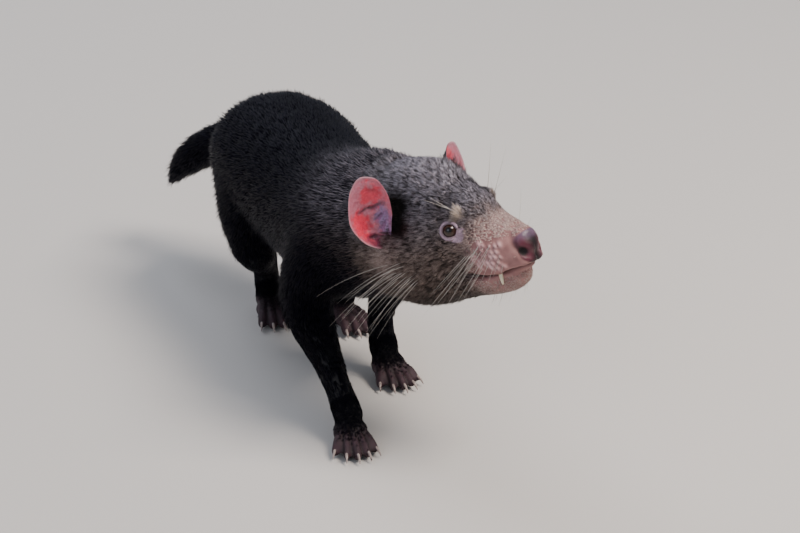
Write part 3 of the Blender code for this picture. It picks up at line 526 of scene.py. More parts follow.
# Painted shade as black hair: before each cream tuft, over each eye, in the hollow ahead of each ear and round its base
painted_shade = np.clip(0.9 * near((0.0735, 0.0215, 0.0270), 0.0044) + 1.5 * hollow
                + 1.2 * ruff + 0.7 * near((0.0600, 0.0230, 0.0370), 0.0060), 0, 1)
tan = 0.5 * near((-0.0110, 0.0520, -0.0060), 0.0130)
to_head = np.linalg.norm(points - np.array(HEAD_MIDDLE), axis=1)
crown = crown * (0.55 + 0.45 * ramp(u, -0.036, 0.004)) * (1 + 0.35 * drift)
crown = crown * (0.15 + 0.85 * ramp(u, -0.060, -0.038))
crown = crown * (1 - 0.50 * near((0.0480, 0.0290, 0.0370), 0.0170)) * (1 - 0.42 * ramp(-f, -0.005, 0.030))
crown = np.maximum(crown, 0.44 * (1 - ramp(to_head, 0.050, 0.170)) * ramp(points[:, 2], 0.150, 0.205))
chin = ramp(-off_mouth, 0.003, 0.009)
thin = muzzle * (1 - 0.85 * ramp(u, -0.001, 0.012)) * (1 - 0.8 * chin)
cover = (1 - nose_pad) * (1 - bare_lid) * (1 - 0.95 * thin) * (1 - 0.9 * lips) * (1 - 0.92 * toes)
cover = cover * ramp(cover, 0.04, 0.30)
cover = cover * np.where(on_body | (on_head > 0), 1.0, ramp(points[:, 2], 0.0015, 0.0060)) * (1 + 1.2 * cream)
hair = hair * (1 + 1.5 * cream) * (1 + (0.9 + 1.6 * (across > 0)) * ruff) * (1 + 0.25 * near((-0.004, 0.050, 0.010), 0.028))
lie = lie + cream[:, None] * np.array(head_way(-0.3, 0, 1.7))
set_values(skin_mesh, "cream", cream)
set_values(skin_mesh, "painted_shade", painted_shade)
set_values(skin_mesh, "muzzle", np.maximum(muzzle * (1 - 0.4 * chin), tan))
set_values(skin_mesh, "lid", bare_lid * (1 - 0.35 * ramp(f, 0.058, 0.069)))
set_values(skin_mesh, "mound", mound * pink * (1 - nose_pad))
set_values(skin_mesh, "nose", nose_pad)
# Where the nose pad's top takes its lighter colour with the painted sky reflection
set_values(skin_mesh, "slate_and_sky_sheen", ramp(u, -0.0045, 0.0015))
set_values(skin_mesh, "toes", toes)
set_values(skin_mesh, "nostril_rim", bump(np.linalg.norm(to_hole * (0.9, 1.0, 0.65), axis=1), 0.0060) * nose_pad)
# Painted shade in the nostril holes, the grooves between the toes, the follicle pits and the mouth line
set_values(skin_mesh, "painted_crease_shade", np.clip(np.maximum.reduce((
    nostril * 1.6, 0.8 * groove, 0.7 * follicle * pink, 0.9 * bump(off_mouth, 0.0008) * on_mouth)), 0, 1))
set_values(skin_mesh, "lie", lie, "FLOAT_VECTOR")
set_values(skin_mesh, "hair", hair)
set_values(skin_mesh, "cover", cover)
set_values(skin_mesh, "crown", crown)
# Share of the top of the head, where the hair's pale tips take a painted sky sheen
set_values(skin_mesh, "high", ramp(u, -0.010, 0.045))
set_values(skin_mesh, "pink", pink)


# The coat: coarse black guard hair that lies back along the body, shorter and brown on the head.
# It grows in tufts of a few hairs from the skin, each tuft a small bundle of bent, closed spikes.
PATCH = 0.003           # across each tuft's place on the skin's unwrap


def tuft(name, hairs, rows, spread, bow, seed):
    """A bundle of closed three-sided spikes, one unit long along X, its width in units of its own."""
    draw = np.random.default_rng(seed)
    shape = bmesh.new()
    patch = shape.loops.layers.uv.new("tuft_patch")
    along, strand = shape.verts.layers.float.new("along"), shape.verts.layers.float.new("strand")
    for number in range(hairs):
        turn = 2 * math.pi * number / hairs
        root = Vector((draw.uniform(-0.05, 0.05), 0.9 * math.cos(turn), 0.5 * math.sin(turn)))
        reach = draw.uniform(0.8, 1.05)
        fan = spread * (math.cos(turn) + draw.uniform(-0.4, 0.4))
        rings = []
        for row in range(rows):
            t = row / rows
            middle = root + Vector((reach * t, fan * t, -bow * t * t + 0.35 * bow * t))
            half = 0.5 * (1 - t) ** 0.7
            rings.append([shape.verts.new(middle + Vector((0, half * math.cos(a), half * 0.7 * math.sin(a))))
                          for a in (0.5, 2.6, 4.7)])
            for v in rings[-1]:
                v[along] = t
        tip = shape.verts.new(root + Vector((reach, fan, -0.65 * bow)))
        tip[along] = 1.0
        own_tone = draw.uniform(0, 1)
        for v in (*sum(rings, []), tip):
            v[strand] = own_tone
        shape.faces.new(rings[0][::-1])
        for low, high in zip(rings, rings[1:]):
            for i in range(3):
                shape.faces.new((low[i], low[(i + 1) % 3], high[(i + 1) % 3], high[i]))
        for i in range(3):
            shape.faces.new((rings[-1][i], rings[-1][(i + 1) % 3], tip))
    bmesh.ops.triangulate(shape, faces=shape.faces)
    bmesh.ops.recalc_face_normals(shape, faces=shape.faces)
    for face_made in shape.faces:
        face_made.smooth = True
        for loop in face_made.loops:
            x, y = min(loop.vert.co.x, 1), max(-1, min(1, loop.vert.co.y / 2))
            loop[patch].uv = (PATCH * (x - 0.5), PATCH * y / 2)
    mesh = bpy.data.meshes.new(name)
    shape.to_mesh(mesh)
    shape.free()
    made = bpy.data.objects.new(name, mesh)
    return made


def tuft_set(name, **sizes):
    """Several tufts of one kind, to be picked from."""
    group = bpy.data.collections.new(name)
    for number in range(4):
        group.objects.link(tuft(f"{name}_{number}", seed=number, **sizes))
    return group


def coat_tree():
    """Geometry nodes that set tufts over the part of a skin that has the asked number."""
    tree = bpy.data.node_groups.new("coat", "GeometryNodeTree")
    face = tree.interface
    face.new_socket("Skin", in_out="INPUT", socket_type="NodeSocketGeometry")
    for name, kind in (("Part", "Int"), ("Density", "Float"), ("Width", "Float"), ("Rise", "Float"),
                       ("Stray", "Float"), ("Seed", "Int"), ("Tufts", "Collection"), ("Finish", "Material")):
        face.new_socket(name, in_out="INPUT", socket_type="NodeSocket" + kind)
    face.new_socket("Coat", in_out="OUTPUT", socket_type="NodeSocketGeometry")
    given = add(tree, "NodeGroupInput").outputs

    def named(name, kind="FLOAT"):
        return add(tree, "GeometryNodeInputNamedAttribute", {"Name": name}, data_type=kind).outputs[0]

    def vector_maths(what, *values):
        return add(tree, "ShaderNodeVectorMath", dict(enumerate(values)), operation=what)

    def drawn_value(low, high, shift):
        seed = add(tree, "ShaderNodeMath", {0: given["Seed"], 1: shift}, operation="ADD").outputs[0]
        return add(tree, "FunctionNodeRandomValue", {2: low, 3: high, 8: seed}, data_type="FLOAT").outputs[1]

    here = add(tree, "FunctionNodeCompare", {2: named("part", "INT"), 3: given["Part"]},
               data_type="INT", operation="EQUAL").outputs[0]
    thick = add(tree, "ShaderNodeMath", {0: named("cover"), 1: given["Density"]}, operation="MULTIPLY").outputs[0]
    roots = add(tree, "GeometryNodeDistributePointsOnFaces",
                {"Mesh": given["Skin"], "Selection": here, "Density": thick, "Seed": given["Seed"]},
                distribute_method="RANDOM")
    normal = roots.outputs["Normal"]
    way = named("lie", "FLOAT_VECTOR")
    off = vector_maths("SCALE", normal)
    tree.links.new(vector_maths("DOT_PRODUCT", way, normal).outputs["Value"], off.inputs["Scale"])
    flat = vector_maths("NORMALIZE", vector_maths("SUBTRACT", way, off.outputs[0]).outputs[0]).outputs[0]
    lift = vector_maths("SCALE", normal)
    tree.links.new(given["Rise"], lift.inputs["Scale"])
    stray_seed = add(tree, "ShaderNodeMath", {0: given["Seed"], 1: 7}, operation="ADD").outputs[0]
    stray = vector_maths("SCALE", add(tree, "FunctionNodeRandomValue", {0: (-1, -1, -0.4), 1: (1, 1, 1), 8: stray_seed},
                                      data_type="FLOAT_VECTOR").outputs[0])
    tree.links.new(given["Stray"], stray.inputs["Scale"])
    lifted = vector_maths("ADD", flat, lift.outputs[0]).outputs[0]
    runs = vector_maths("ADD", lifted, stray.outputs[0]).outputs[0]
    first = add(tree, "FunctionNodeAlignRotationToVector", {"Vector": runs}, axis="X")
    second = add(tree, "FunctionNodeAlignRotationToVector", {"Rotation": first.outputs[0], "Vector": normal},
                 axis="Z", pivot_axis="X")
    long = add(tree, "ShaderNodeMath", {0: named("hair"), 1: drawn_value(0.72, 1.15, 1)}, operation="MULTIPLY").outputs[0]
    wide = add(tree, "ShaderNodeMath", {0: given["Width"], 1: drawn_value(0.75, 1.25, 2)}, operation="MULTIPLY").outputs[0]
    size = add(tree, "ShaderNodeCombineXYZ", {0: long, 1: wide, 2: wide}).outputs[0]
    bundle = add(tree, "GeometryNodeCollectionInfo",
                 {"Collection": given["Tufts"], "Separate Children": True, "Reset Children": True})
    coat = add(tree, "GeometryNodeInstanceOnPoints",
               {"Points": roots.outputs["Points"], "Instance": bundle.outputs[0], "Pick Instance": True,
                "Rotation": second.outputs[0], "Scale": size}).outputs[0]
    coat = add(tree, "GeometryNodeStoreNamedAttribute", {"Geometry": coat, "Name": "tone", "Value": drawn_value(0, 1, 3)},
               data_type="FLOAT", domain="INSTANCE").outputs[0]
    coat = add(tree, "GeometryNodeRealizeInstances", {"Geometry": coat}).outputs[0]
    spot = vector_maths("ADD", named("unwrap", "FLOAT_VECTOR"), named("tuft_patch", "FLOAT_VECTOR")).outputs[0]
    coat = add(tree, "GeometryNodeStoreNamedAttribute", {"Geometry": coat, "Name": "OFBake", "Value": spot},
               data_type="FLOAT2", domain="CORNER").outputs[0]
    for name in ("lie", "hair", "cover", "unwrap", "tuft_patch", "part"):
        coat = add(tree, "GeometryNodeRemoveAttribute", {"Geometry": coat, "Name": name}).outputs[0]
    coat = add(tree, "GeometryNodeSetMaterial", {"Geometry": coat, "Material": given["Finish"]}).outputs[0]
    add(tree, "NodeGroupOutput", {0: coat})
    return tree


COAT_TREE = coat_tree()


def grow(name, skin_of, **sizes):
    """A plain mesh of the tufts that grow on one part of a skin."""
    holder = bpy.data.objects.new("holder", skin_of.data)
    bpy.context.scene.collection.objects.link(holder)
    nodes = holder.modifiers.new("coat", "NODES")
    nodes.node_group = COAT_TREE
    sockets = {item.name: item.identifier for item in COAT_TREE.interface.items_tree}
    for key, value in sizes.items():
        nodes[sockets[key]] = value
    made = plain_mesh(holder)
    holder.modifiers.remove(nodes)
    bpy.data.objects.remove(holder)
    piece = bpy.data.objects.new(name, made)
    made.name = name
    bpy.context.scene.collection.objects.link(piece)
    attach(piece, "root")


def hair_finish(name, roughness, gloss, sheen):
    """Smooth horn-like fibre: black with a faint blue sheen, grizzled brown on the head."""
    finish, tree, shader = new_finish(name)
    tone = blended(tree, 0.30, seen(tree, "tone"), seen(tree, "strand"))
    along = seen(tree, "along")
    to_tip = add(tree, "ShaderNodeMapRange", {"Value": along, "To Min": 0.45})
    pale = add(tree, "ShaderNodeMapRange", {"Value": tone, "From Min": 0.22, "From Max": 0.85}).outputs[0]
    grizzle = add(tree, "ShaderNodeMath", {0: pale, 1: to_tip.outputs[0]}, operation="MULTIPLY").outputs[0]
    black_hair = blended(tree, grizzle, hex_colour("#010103"), hex_colour("#08070d"))
    # Pale tips, lilac on top of the head and tan below: partly their own colour, partly a painted sky sheen on the top
    tips = blended(tree, seen(tree, "high"), hex_colour("#d2b9ae"), hex_colour("#eee4f0"))
    brown_hair = blended(tree, grizzle, hex_colour("#161011"), tips)
    muzzle_hair = blended(tree, tone, hex_colour("#b8978f"), hex_colour("#fae4db"))
    colour = blended(tree, seen(tree, "crown"), black_hair, brown_hair)
    colour = blended(tree, seen(tree, "toes"), colour, hex_colour("#1c1117"))
    colour = blended(tree, seen(tree, "muzzle"), colour, muzzle_hair)
    # Painted shade: hair turned near black in the hollows by the ears and round the eyes
    colour = blended(tree, seen(tree, "painted_shade"), colour, hex_colour("#060508"))
    colour = blended(tree, seen(tree, "cream"), colour, hex_colour("#dcc8b4"))
    tree.links.new(colour, shader.inputs["Base Color"])
    shader.inputs["Roughness"].default_value = roughness
    shader.inputs["Specular IOR Level"].default_value = gloss
    shader.inputs["Specular Tint"].default_value = hex_colour(sheen)
    return finish


head_hair = hair_finish("head_hair", 0.50, 0.30, "#fff2ea")
guard_hair = hair_finish("guard_hair", 0.42, 0.15, "#c6c2ff")

long_tufts = tuft_set("long_tuft", hairs=3, rows=2, spread=1.6, bow=1.2)
short_tufts = tuft_set("short_tuft", hairs=4, rows=1, spread=1.2, bow=0.0)

# Part numbers of the coat by the solid they grow over, the torso in three lengths
torso_low, torso_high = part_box("torso")
lengthwise = (points[:, 1] - torso_low.y) / (torso_high.y - torso_low.y)
part = np.zeros(len(points), int)
for number, name in enumerate(FLESH):
    mine = owners == number
    if name in ("head", "jaw"):
        part[mine] = np.where(f[mine] > 0.050, 1, np.where(across[mine] < 0, 2, 3))
        part[mine & (ruff > 0.35)] = 13
    elif name == "neck":
        part[mine] = 4
    elif name == "torso":
        part[mine] = np.where(lengthwise[mine] < 0.33, 5, np.where(lengthwise[mine] < 0.66, 6, 7))
    elif name == "tail":
        part[mine] = 8
    elif name.startswith("upper"):
        part[mine] = 9 if "foreleg" in name else 10
    else:
        part[mine] = 11 if "foot" in name else 12
corner_of = np.empty(len(skin_mesh.loops), np.int32)
skin_mesh.loops.foreach_get("vertex_index", corner_of)
starts = np.empty(len(skin_mesh.polygons), np.int32)
skin_mesh.polygons.foreach_get("loop_start", starts)
set_values(skin_mesh, "part", part[corner_of[starts]].astype(np.int32), "INT", "FACE")

for name, number, density, width, rise, stray, tufts, finish in (
    ("coat_muzzle", 1, 1.15e6, 0.00030, 0.14, 0.14, short_tufts, head_hair),
    ("coat_head_right", 2, 0.70e6, 0.00050, 0.42, 0.30, short_tufts, head_hair),
    ("coat_head_left", 3, 0.60e6, 0.00052, 0.42, 0.30, short_tufts, head_hair),
    ("coat_neck", 4, 0.20e6, 0.00085, 0.34, 0.20, long_tufts, guard_hair),
    ("coat_shoulders", 5, 0.17e6, 0.00100, 0.34, 0.20, long_tufts, guard_hair),
    ("coat_ribs", 6, 0.155e6, 0.00100, 0.34, 0.20, long_tufts, guard_hair),
    ("coat_rump", 7, 0.155e6, 0.00100, 0.34, 0.20, long_tufts, guard_hair),
    ("coat_tail", 8, 0.22e6, 0.00090, 0.34, 0.20, long_tufts, guard_hair),
    ("coat_forelegs", 9, 0.20e6, 0.00090, 0.32, 0.20, long_tufts, guard_hair),
    ("coat_hindlegs", 10, 0.20e6, 0.00090, 0.32, 0.20, long_tufts, guard_hair),
    ("coat_feet", 11, 0.90e6, 0.00042, 0.20, 0.15, short_tufts, guard_hair),
    ("coat_lower_legs", 12, 0.205e6, 0.00072, 0.18, 0.09, long_tufts, guard_hair),
    ("coat_ear_roots", 13, 0.42e6, 0.00060, 0.95, 0.35, long_tufts, head_hair),
):
    grow(name, skin, Part=number, Density=density, Width=width, Rise=rise, Stray=stray, Seed=number,
         Tufts=tufts, Finish=finish)

# The ears: thin shells of naked red skin, hollow towards the front, folded inside near the head
# and dusty at the rim, with short black fur on their backs. They grow out of the skin.
EARS = {                # middle, way up and way it faces, in the head's axes
    "ear_right": ((0.0000, -0.0605, 0.0365), (0.13, 0.01, 0.99), (0.82, -0.54, -0.05)),
    "ear_left": ((-0.0085, 0.0565, 0.0272), (-0.16, 0.42, 0.90), (0.95, 0.27, -0.05)),
}
EAR_HALF_WIDTH, EAR_ABOVE, EAR_BELOW, EAR_LEAN = 0.0185, 0.036, 0.031, 0.0135
EAR_RINGS, EAR_STEPS = 34, 88
# Ridges and creases: middle across and up, angle, half length, half width, height in millimetres
EAR_FOLDS = (
    (-0.50, 0.21, -8, 0.42, 0.050, -1.9), (-0.42, 0.09, -14, 0.34, 0.075, 2.6),
    (-0.55, -0.05, -22, 0.28, 0.035, -1.5), (-0.52, -0.15, -26, 0.26, 0.060, 2.3),
    (-0.62, -0.27, -30, 0.22, 0.035, -1.4), (-0.58, -0.38, -38, 0.24, 0.060, 2.0),
    (-0.12, -0.20, 82, 0.34, 0.085, 1.6), (0.10, 0.12, -4, 0.55, 0.045, -1.0),
    (0.02, -0.64, 6, 0.34, 0.045, -1.6), (0.20, -0.52, 10, 0.30, 0.060, 1.0),
    (0.55, -0.10, 78, 0.50, 0.080, 0.8), (-0.30, 0.62, 15, 0.30, 0.060, -0.7),
)


def ear_rim(angle):
    """Across and up of the rim at an angle from the ear's top, narrower low down."""
    across = math.copysign(abs(math.sin(angle)) ** 0.8, math.sin(angle))
    up = math.copysign(abs(math.cos(angle)) ** 0.9, math.cos(angle))
    if up < 0:
        across *= 1 + (0.25 if across > 0 else 0.40) * up
    return across, up


def ear_relief(x, z):
    """The height of the ear's folds at a place on its face."""
    height = 0.0
    for across, up, angle, long, wide, tall in EAR_FOLDS:
        c, s = math.cos(math.radians(angle)), math.sin(math.radians(angle))
        run, off = (x - across) * c + (z - up) * s, (z - up) * c - (x - across) * s
        off += 0.02 * math.sin(run * 9)
        height += tall / 1000 * math.exp(-(run / long) ** 2 - (off / wide) ** 2)
    return height


def ear_mesh(name):
    """Front and back of one ear, joined round the rim, with its own across and upward values."""
    sign = -1 if name == "ear_right" else 1
    place, tip_way, facing = EARS[name]
    tip_way = head_way(*tip_way).normalized()
    facing = head_way(*facing)
    facing = (facing - tip_way * facing.dot(tip_way)).normalized()
    outward = facing.cross(tip_way) * -sign
    middle, sideways = in_head(*place), head_way(0, sign, 0)
    fronts, backs, face_places, creases = [], [], [], []
    for ring in range(EAR_RINGS + 1):
        p = ring / EAR_RINGS
        for step in range(EAR_STEPS):
            t = 2 * math.pi * step / EAR_STEPS
            x, z = (p * far for far in ear_rim(t))
            high, flat = (EAR_ABOVE, z) if z > 0 else (EAR_BELOW, 0.0)
            cup = (0.0115 - 0.0075 * flat - 0.0030 * min(z, 0.0)) * (1 - p**2)
            wave = 1 + 0.012 * math.sin(5 * t + 1) * p + 0.008 * math.sin(9 * t) * p
            fold = ear_relief(x, z) * (1 - p**6) - 0.0008 * math.exp(-((p - 0.90) / 0.05) ** 2)
            lean = EAR_LEAN * min(z, 0.0) ** 2
            point = (middle + outward * x * EAR_HALF_WIDTH * wave + tip_way * z * high * wave
                     + facing * (0.0040 * (1 - 0.7 * flat) * x**2 - cup + fold) - sideways * lean)
            fronts.append(point)
            backs.append(point - facing * (0.0009 + 0.0020 * (1 - p**3) + fold * 0.8) - (point - middle) * 0.012)
            face_places.append((x, z, p))
            creases.append(max(0.0, min(0.75, -fold / 0.0016)) * (p < 0.85))
    faces, half = [], len(fronts)
    for ring in range(EAR_RINGS):
        for step in range(EAR_STEPS):
            a, b = ring * EAR_STEPS + step, ring * EAR_STEPS + (step + 1) % EAR_STEPS
            faces.append((a, a + EAR_STEPS, b + EAR_STEPS, b))
            faces.append((half + a, half + b, half + b + EAR_STEPS, half + a + EAR_STEPS))
    edge = EAR_RINGS * EAR_STEPS
    for step in range(EAR_STEPS):
        a, b = edge + step, edge + (step + 1) % EAR_STEPS
        faces.append((a, half + a, half + b, b))
    mesh = mesh_of(name + "_skin", fronts + backs, faces)
    set_values(mesh, "on_face", face_places * 2, "FLOAT_VECTOR")
    # How deep the painted shade lies in each crease of the folds
    set_values(mesh, "fold_shade", creases * 2)
    set_values(mesh, "inside", [1.0] * half + [0.0] * half)
    set_values(mesh, "cover", [0.0] * half + [1.0 if place[2] < 0.86 else 0.0 for place in face_places])
    set_values(mesh, "lie", [tuple(tip_way + outward * 0.2)] * (2 * half), "FLOAT_VECTOR")
    set_values(mesh, "hair", [0.0030] * (2 * half))
    shape = bmesh.new()
    shape.from_mesh(mesh)
    bmesh.ops.remove_doubles(shape, verts=shape.verts, dist=1e-5)
    bmesh.ops.recalc_face_normals(shape, faces=shape.faces)
    shape.to_mesh(mesh)
    shape.free()
    set_values(mesh, "part", [0] * len(mesh.polygons), "INT", "FACE")
    return mesh


def patch(tree, spot, middle, size):
    """A soft, uneven spot on the ear's face, as a share from 0 to 1."""
    moved = add(tree, "ShaderNodeMapping", {"Vector": spot, "Location": (*middle, 0), "Scale": (*size, 100)},
                vector_type="TEXTURE")
    far = add(tree, "ShaderNodeVectorMath", {0: moved.outputs[0]}, operation="LENGTH")
    return add(tree, "ShaderNodeMapRange", {"Value": far.outputs["Value"], "From Min": 0.55, "From Max": 1.25,
                                            "To Min": 1.0, "To Max": 0.0}, interpolation_type="SMOOTHSTEP").outputs[0]


# Thin ear skin: blood shows red through it where the light falls, violet in its folds, with painted shade in its
# creases
ear_skin, tree, shader = new_finish("thin_ear_skin")
place = add(tree, "ShaderNodeTexCoord").outputs["Object"]
veins = add(tree, "ShaderNodeTexNoise", {"Vector": place, "Scale": 300.0, "Detail": 6.0, "Distortion": 1.2})
drift = add(tree, "ShaderNodeTexNoise", {"Vector": place, "Scale": 150.0, "Detail": 3.0})
shifted = add(tree, "ShaderNodeVectorMath", {0: drift.outputs["Color"], 1: (0.5, 0.5, 0.5)}, operation="SUBTRACT")
warped = add(tree, "ShaderNodeVectorMath", {0: shifted.outputs[0], 1: (0.75, 0.75, 0), 2: seen(tree, "on_face", "Vector")},
             operation="MULTIPLY_ADD").outputs[0]
base = blended(tree, veins.outputs[0], hex_colour("#863f52"), hex_colour("#c98494"))
violet = blended(tree, veins.outputs[0], hex_colour("#352340"), hex_colour("#a58bb6"))
red = blended(tree, veins.outputs[0], hex_colour("#a3142e"), hex_colour("#ec4a63"))
deep_red = blended(tree, veins.outputs[0], hex_colour("#4c1730"), hex_colour("#933a58"))
colour = blended(tree, patch(tree, warped, (-0.66, -0.22), (0.41, 0.52)), base, violet)
colour = blended(tree, patch(tree, warped, (0.00, -0.86), (0.55, 0.30)), colour, deep_red)
colour = blended(tree, patch(tree, warped, (-0.22, 0.52), (0.56, 0.32)), colour, red)
colour = blended(tree, patch(tree, warped, (0.40, -0.26), (0.50, 0.46)), colour, red)
# Painted shade, dark violet, in the creases between the ear's folds
colour = blended(tree, seen(tree, "fold_shade"), colour, hex_colour("#2c1022"))
on_face = add(tree, "ShaderNodeSeparateXYZ", {0: seen(tree, "on_face", "Vector")})
rim = add(tree, "ShaderNodeMapRange", {"Value": on_face.outputs[2], "From Min": 0.92, "From Max": 1.0}).outputs[0]
outer = add(tree, "ShaderNodeMapRange", {"Value": on_face.outputs[0], "From Min": -0.75, "From Max": 0.0}).outputs[0]
dusty = add(tree, "ShaderNodeMath", {0: rim, 1: outer}, operation="MULTIPLY").outputs[0]
colour = blended(tree, dusty, colour, hex_colour("#b58d98"))
colour = blended(tree, seen(tree, "inside"), hex_colour("#1a1216"), colour)
tree.links.new(colour, shader.inputs["Base Color"])
wrinkles = add(tree, "ShaderNodeTexNoise", {"Vector": place, "Scale": 420.0, "Detail": 4.0})
relief = add(tree, "ShaderNodeBump", {"Height": wrinkles.outputs[0], "Strength": 0.8, "Distance": 0.0009})
tree.links.new(relief.outputs[0], shader.inputs["Normal"])
shader.inputs["Roughness"].default_value = 0.42
shader.inputs["Subsurface Weight"].default_value = 0.25
shader.inputs["Subsurface Radius"].default_value = (0.006, 0.0015, 0.001)
shader.inputs["Subsurface Scale"].default_value = 0.4

for name in EARS:
    ear = linked(name + "_skin", ear_mesh(name))
    unwrap(ear)
    ear.data.materials.append(ear_skin)
    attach(ear, "root")
    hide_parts(name)
    grow("coat_" + name, ear, Part=0, Density=0.55e6, Width=0.00042, Rise=0.25, Stray=0.25, Seed=20,
         Tufts=short_tufts, Finish=guard_hair)


# The eyes: wet dark balls with a brown iris and a wide pupil, each set in a ring of bare lids
EYE_RINGS, EYE_STEPS = 28, 48


def turned_ring(look):
    """Two directions at right angles to a look: towards the nose, and up."""
    ahead = (head_way(1, 0, 0) - look * look.dot(head_way(1, 0, 0))).normalized()
    above = look.cross(ahead)
    return ahead, above if above.dot(head_way(0, 0, 1)) > 0 else -above


eye_glass, tree, shader = new_finish("wet_eye")
from_look = seen(tree, "from_look")
place = add(tree, "ShaderNodeTexCoord").outputs["Object"]
streak = add(tree, "ShaderNodeTexNoise", {"Vector": place, "Scale": 1400.0, "Detail": 2.0})
iris = blended(tree, streak.outputs[0], hex_colour("#140905"), hex_colour("#3a1e10"))
in_pupil = add(tree, "ShaderNodeMapRange", {"Value": from_look, "From Min": 0.33, "From Max": 0.38, "To Min": 1.0,
                                            "To Max": 0.0}).outputs[0]
in_white = add(tree, "ShaderNodeMapRange", {"Value": from_look, "From Min": 0.78, "From Max": 0.90}).outputs[0]
colour = blended(tree, in_pupil, iris, hex_colour("#020203"))
colour = blended(tree, in_white, colour, hex_colour("#2b1d1b"))
tree.links.new(colour, shader.inputs["Base Color"])
shader.inputs["Roughness"].default_value = 0.08
shader.inputs["Specular IOR Level"].default_value = 0.25
shader.inputs["Coat Weight"].default_value = 0.55
shader.inputs["Coat Roughness"].default_value = 0.02

# Lids: angle out from the opening's edge, and height over the ball, in turn round the ring
LID_PROFILE = ((0.00, 0.0001), (0.03, 0.0010), (0.12, 0.0017), (0.28, 0.0021), (0.46, 0.0021),
               (0.66, 0.0014), (0.82, -0.0002), (0.90, -0.0022), (0.35, -0.0012), (0.05, -0.0006))
for side in SIDES:
    middle, look = eye_middle[side], eye_look[side]
    ahead, above = turned_ring(look)
    points_of_eye, faces, turned = [middle + look * (EYE_RADIUS + 0.0002)], [], [0.0]
    for ring in range(1, EYE_RINGS):
        angle = math.pi * ring / EYE_RINGS
        radius = EYE_RADIUS - 0.0004 + 0.0006 * math.exp(-(angle / 0.6) ** 2)
        for step in range(EYE_STEPS):
            t = 2 * math.pi * step / EYE_STEPS
            points_of_eye.append(middle + look * radius * math.cos(angle)
                                 + (ahead * math.cos(t) + above * math.sin(t)) * radius * math.sin(angle))
            turned.append(angle)
    points_of_eye.append(middle - look * (EYE_RADIUS - 0.0004))
    turned.append(math.pi)
    for step in range(EYE_STEPS):
        after = (step + 1) % EYE_STEPS
        faces.append((0, 1 + step, 1 + after))
        faces.append((len(points_of_eye) - 1, len(points_of_eye) - 1 - EYE_STEPS + after,
                      len(points_of_eye) - 1 - EYE_STEPS + step))
        for ring in range(EYE_RINGS - 2):
            a, b = 1 + ring * EYE_STEPS + step, 1 + ring * EYE_STEPS + after
            faces.append((a, a + EYE_STEPS, b + EYE_STEPS, b))
    mesh = mesh_of(f"eyeball_{side}", points_of_eye, faces)
    set_values(mesh, "from_look", turned)
    shape = bmesh.new()
    shape.from_mesh(mesh)
    bmesh.ops.recalc_face_normals(shape, faces=shape.faces)
    shape.to_mesh(mesh)
    shape.free()
    eyeball = linked(f"eyeball_{side}", mesh)
    eyeball.data.materials.append(eye_glass)
    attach(eyeball, "root")
    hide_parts(f"eye_{side}")

    points_of_lid, faces, count = [], [], len(LID_PROFILE)
    for step in range(EYE_STEPS):
        t = 2 * math.pi * step / EYE_STEPS
        opening = 0.80 - 0.07 * math.sin(t) + 0.26 * math.exp(-((math.cos(t + 0.35) - 1) / 0.16) ** 2)
        opening += 0.08 * math.exp(-((math.cos(t) + 1) / 0.2) ** 2)
        for out, high in LID_PROFILE:
            angle, radius = opening + out, EYE_RADIUS + high
            points_of_lid.append(middle + look * radius * math.cos(angle)
                                 + (ahead * math.cos(t) + above * math.sin(t)) * radius * math.sin(angle))
        for i in range(count):
            a, b = step * count + i, step * count + (i + 1) % count
            c, d = ((step + 1) % EYE_STEPS) * count + i, ((step + 1) % EYE_STEPS) * count + (i + 1) % count
            faces.append((a, c, d, b))
    mesh = mesh_of(f"lids_{side}", points_of_lid, faces)
    shape = bmesh.new()
    shape.from_mesh(mesh)
    bmesh.ops.recalc_face_normals(shape, faces=shape.faces)
    shape.to_mesh(mesh)
    shape.free()
    edge = [1.0 if i % count in (0, 1, count - 1) else 0.0 for i in range(len(points_of_lid))]
    set_values(mesh, "lid", [1.0] * len(points_of_lid))
    # Painted shade along the lids' edges, where they meet the ball
    set_values(mesh, "painted_crease_shade", [0.6 * e for e in edge])
    lids = linked(f"lids_{side}", mesh)
    smooth = lids.modifiers.new("smooth", "SUBSURF")
    smooth.levels = smooth.render_levels = 1
    lids.data = plain_mesh(lids)
    lids.modifiers.clear()
    lids.data.materials.append(hide)
    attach(lids, "root")


# Teeth: the tips of the two upper canines, smooth ivory enamel, show below the lip
enamel, tree, shader = new_finish("tooth_enamel")
place = add(tree, "ShaderNodeTexCoord").outputs["Object"]
stain = add(tree, "ShaderNodeTexNoise", {"Vector": place, "Scale": 500.0, "Detail": 3.0})
tree.links.new(blended(tree, stain.outputs[0], hex_colour("#c9b690"), hex_colour("#efe6cf")), shader.inputs["Base Color"])
shader.inputs["Roughness"].default_value = 0.25
shader.inputs["Subsurface Weight"].default_value = 0.1
for side in SIDES:
    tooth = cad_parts[f"canine_{side}"]
    tooth.data.materials.clear()
    tooth.data.materials.append(enamel)


# The claws: curved cones of pale horn at the end of each toe, long on the forefeet for digging
CLAW = ((-0.0045, 0.0064, 0.0013), (-0.001, 0.0074, 0.0014), (0.0025, 0.0075, 0.0013), (0.0055, 0.0064, 0.0011),
        (0.0078, 0.0044, 0.0007), (0.0094, 0.0024, 0.00025))


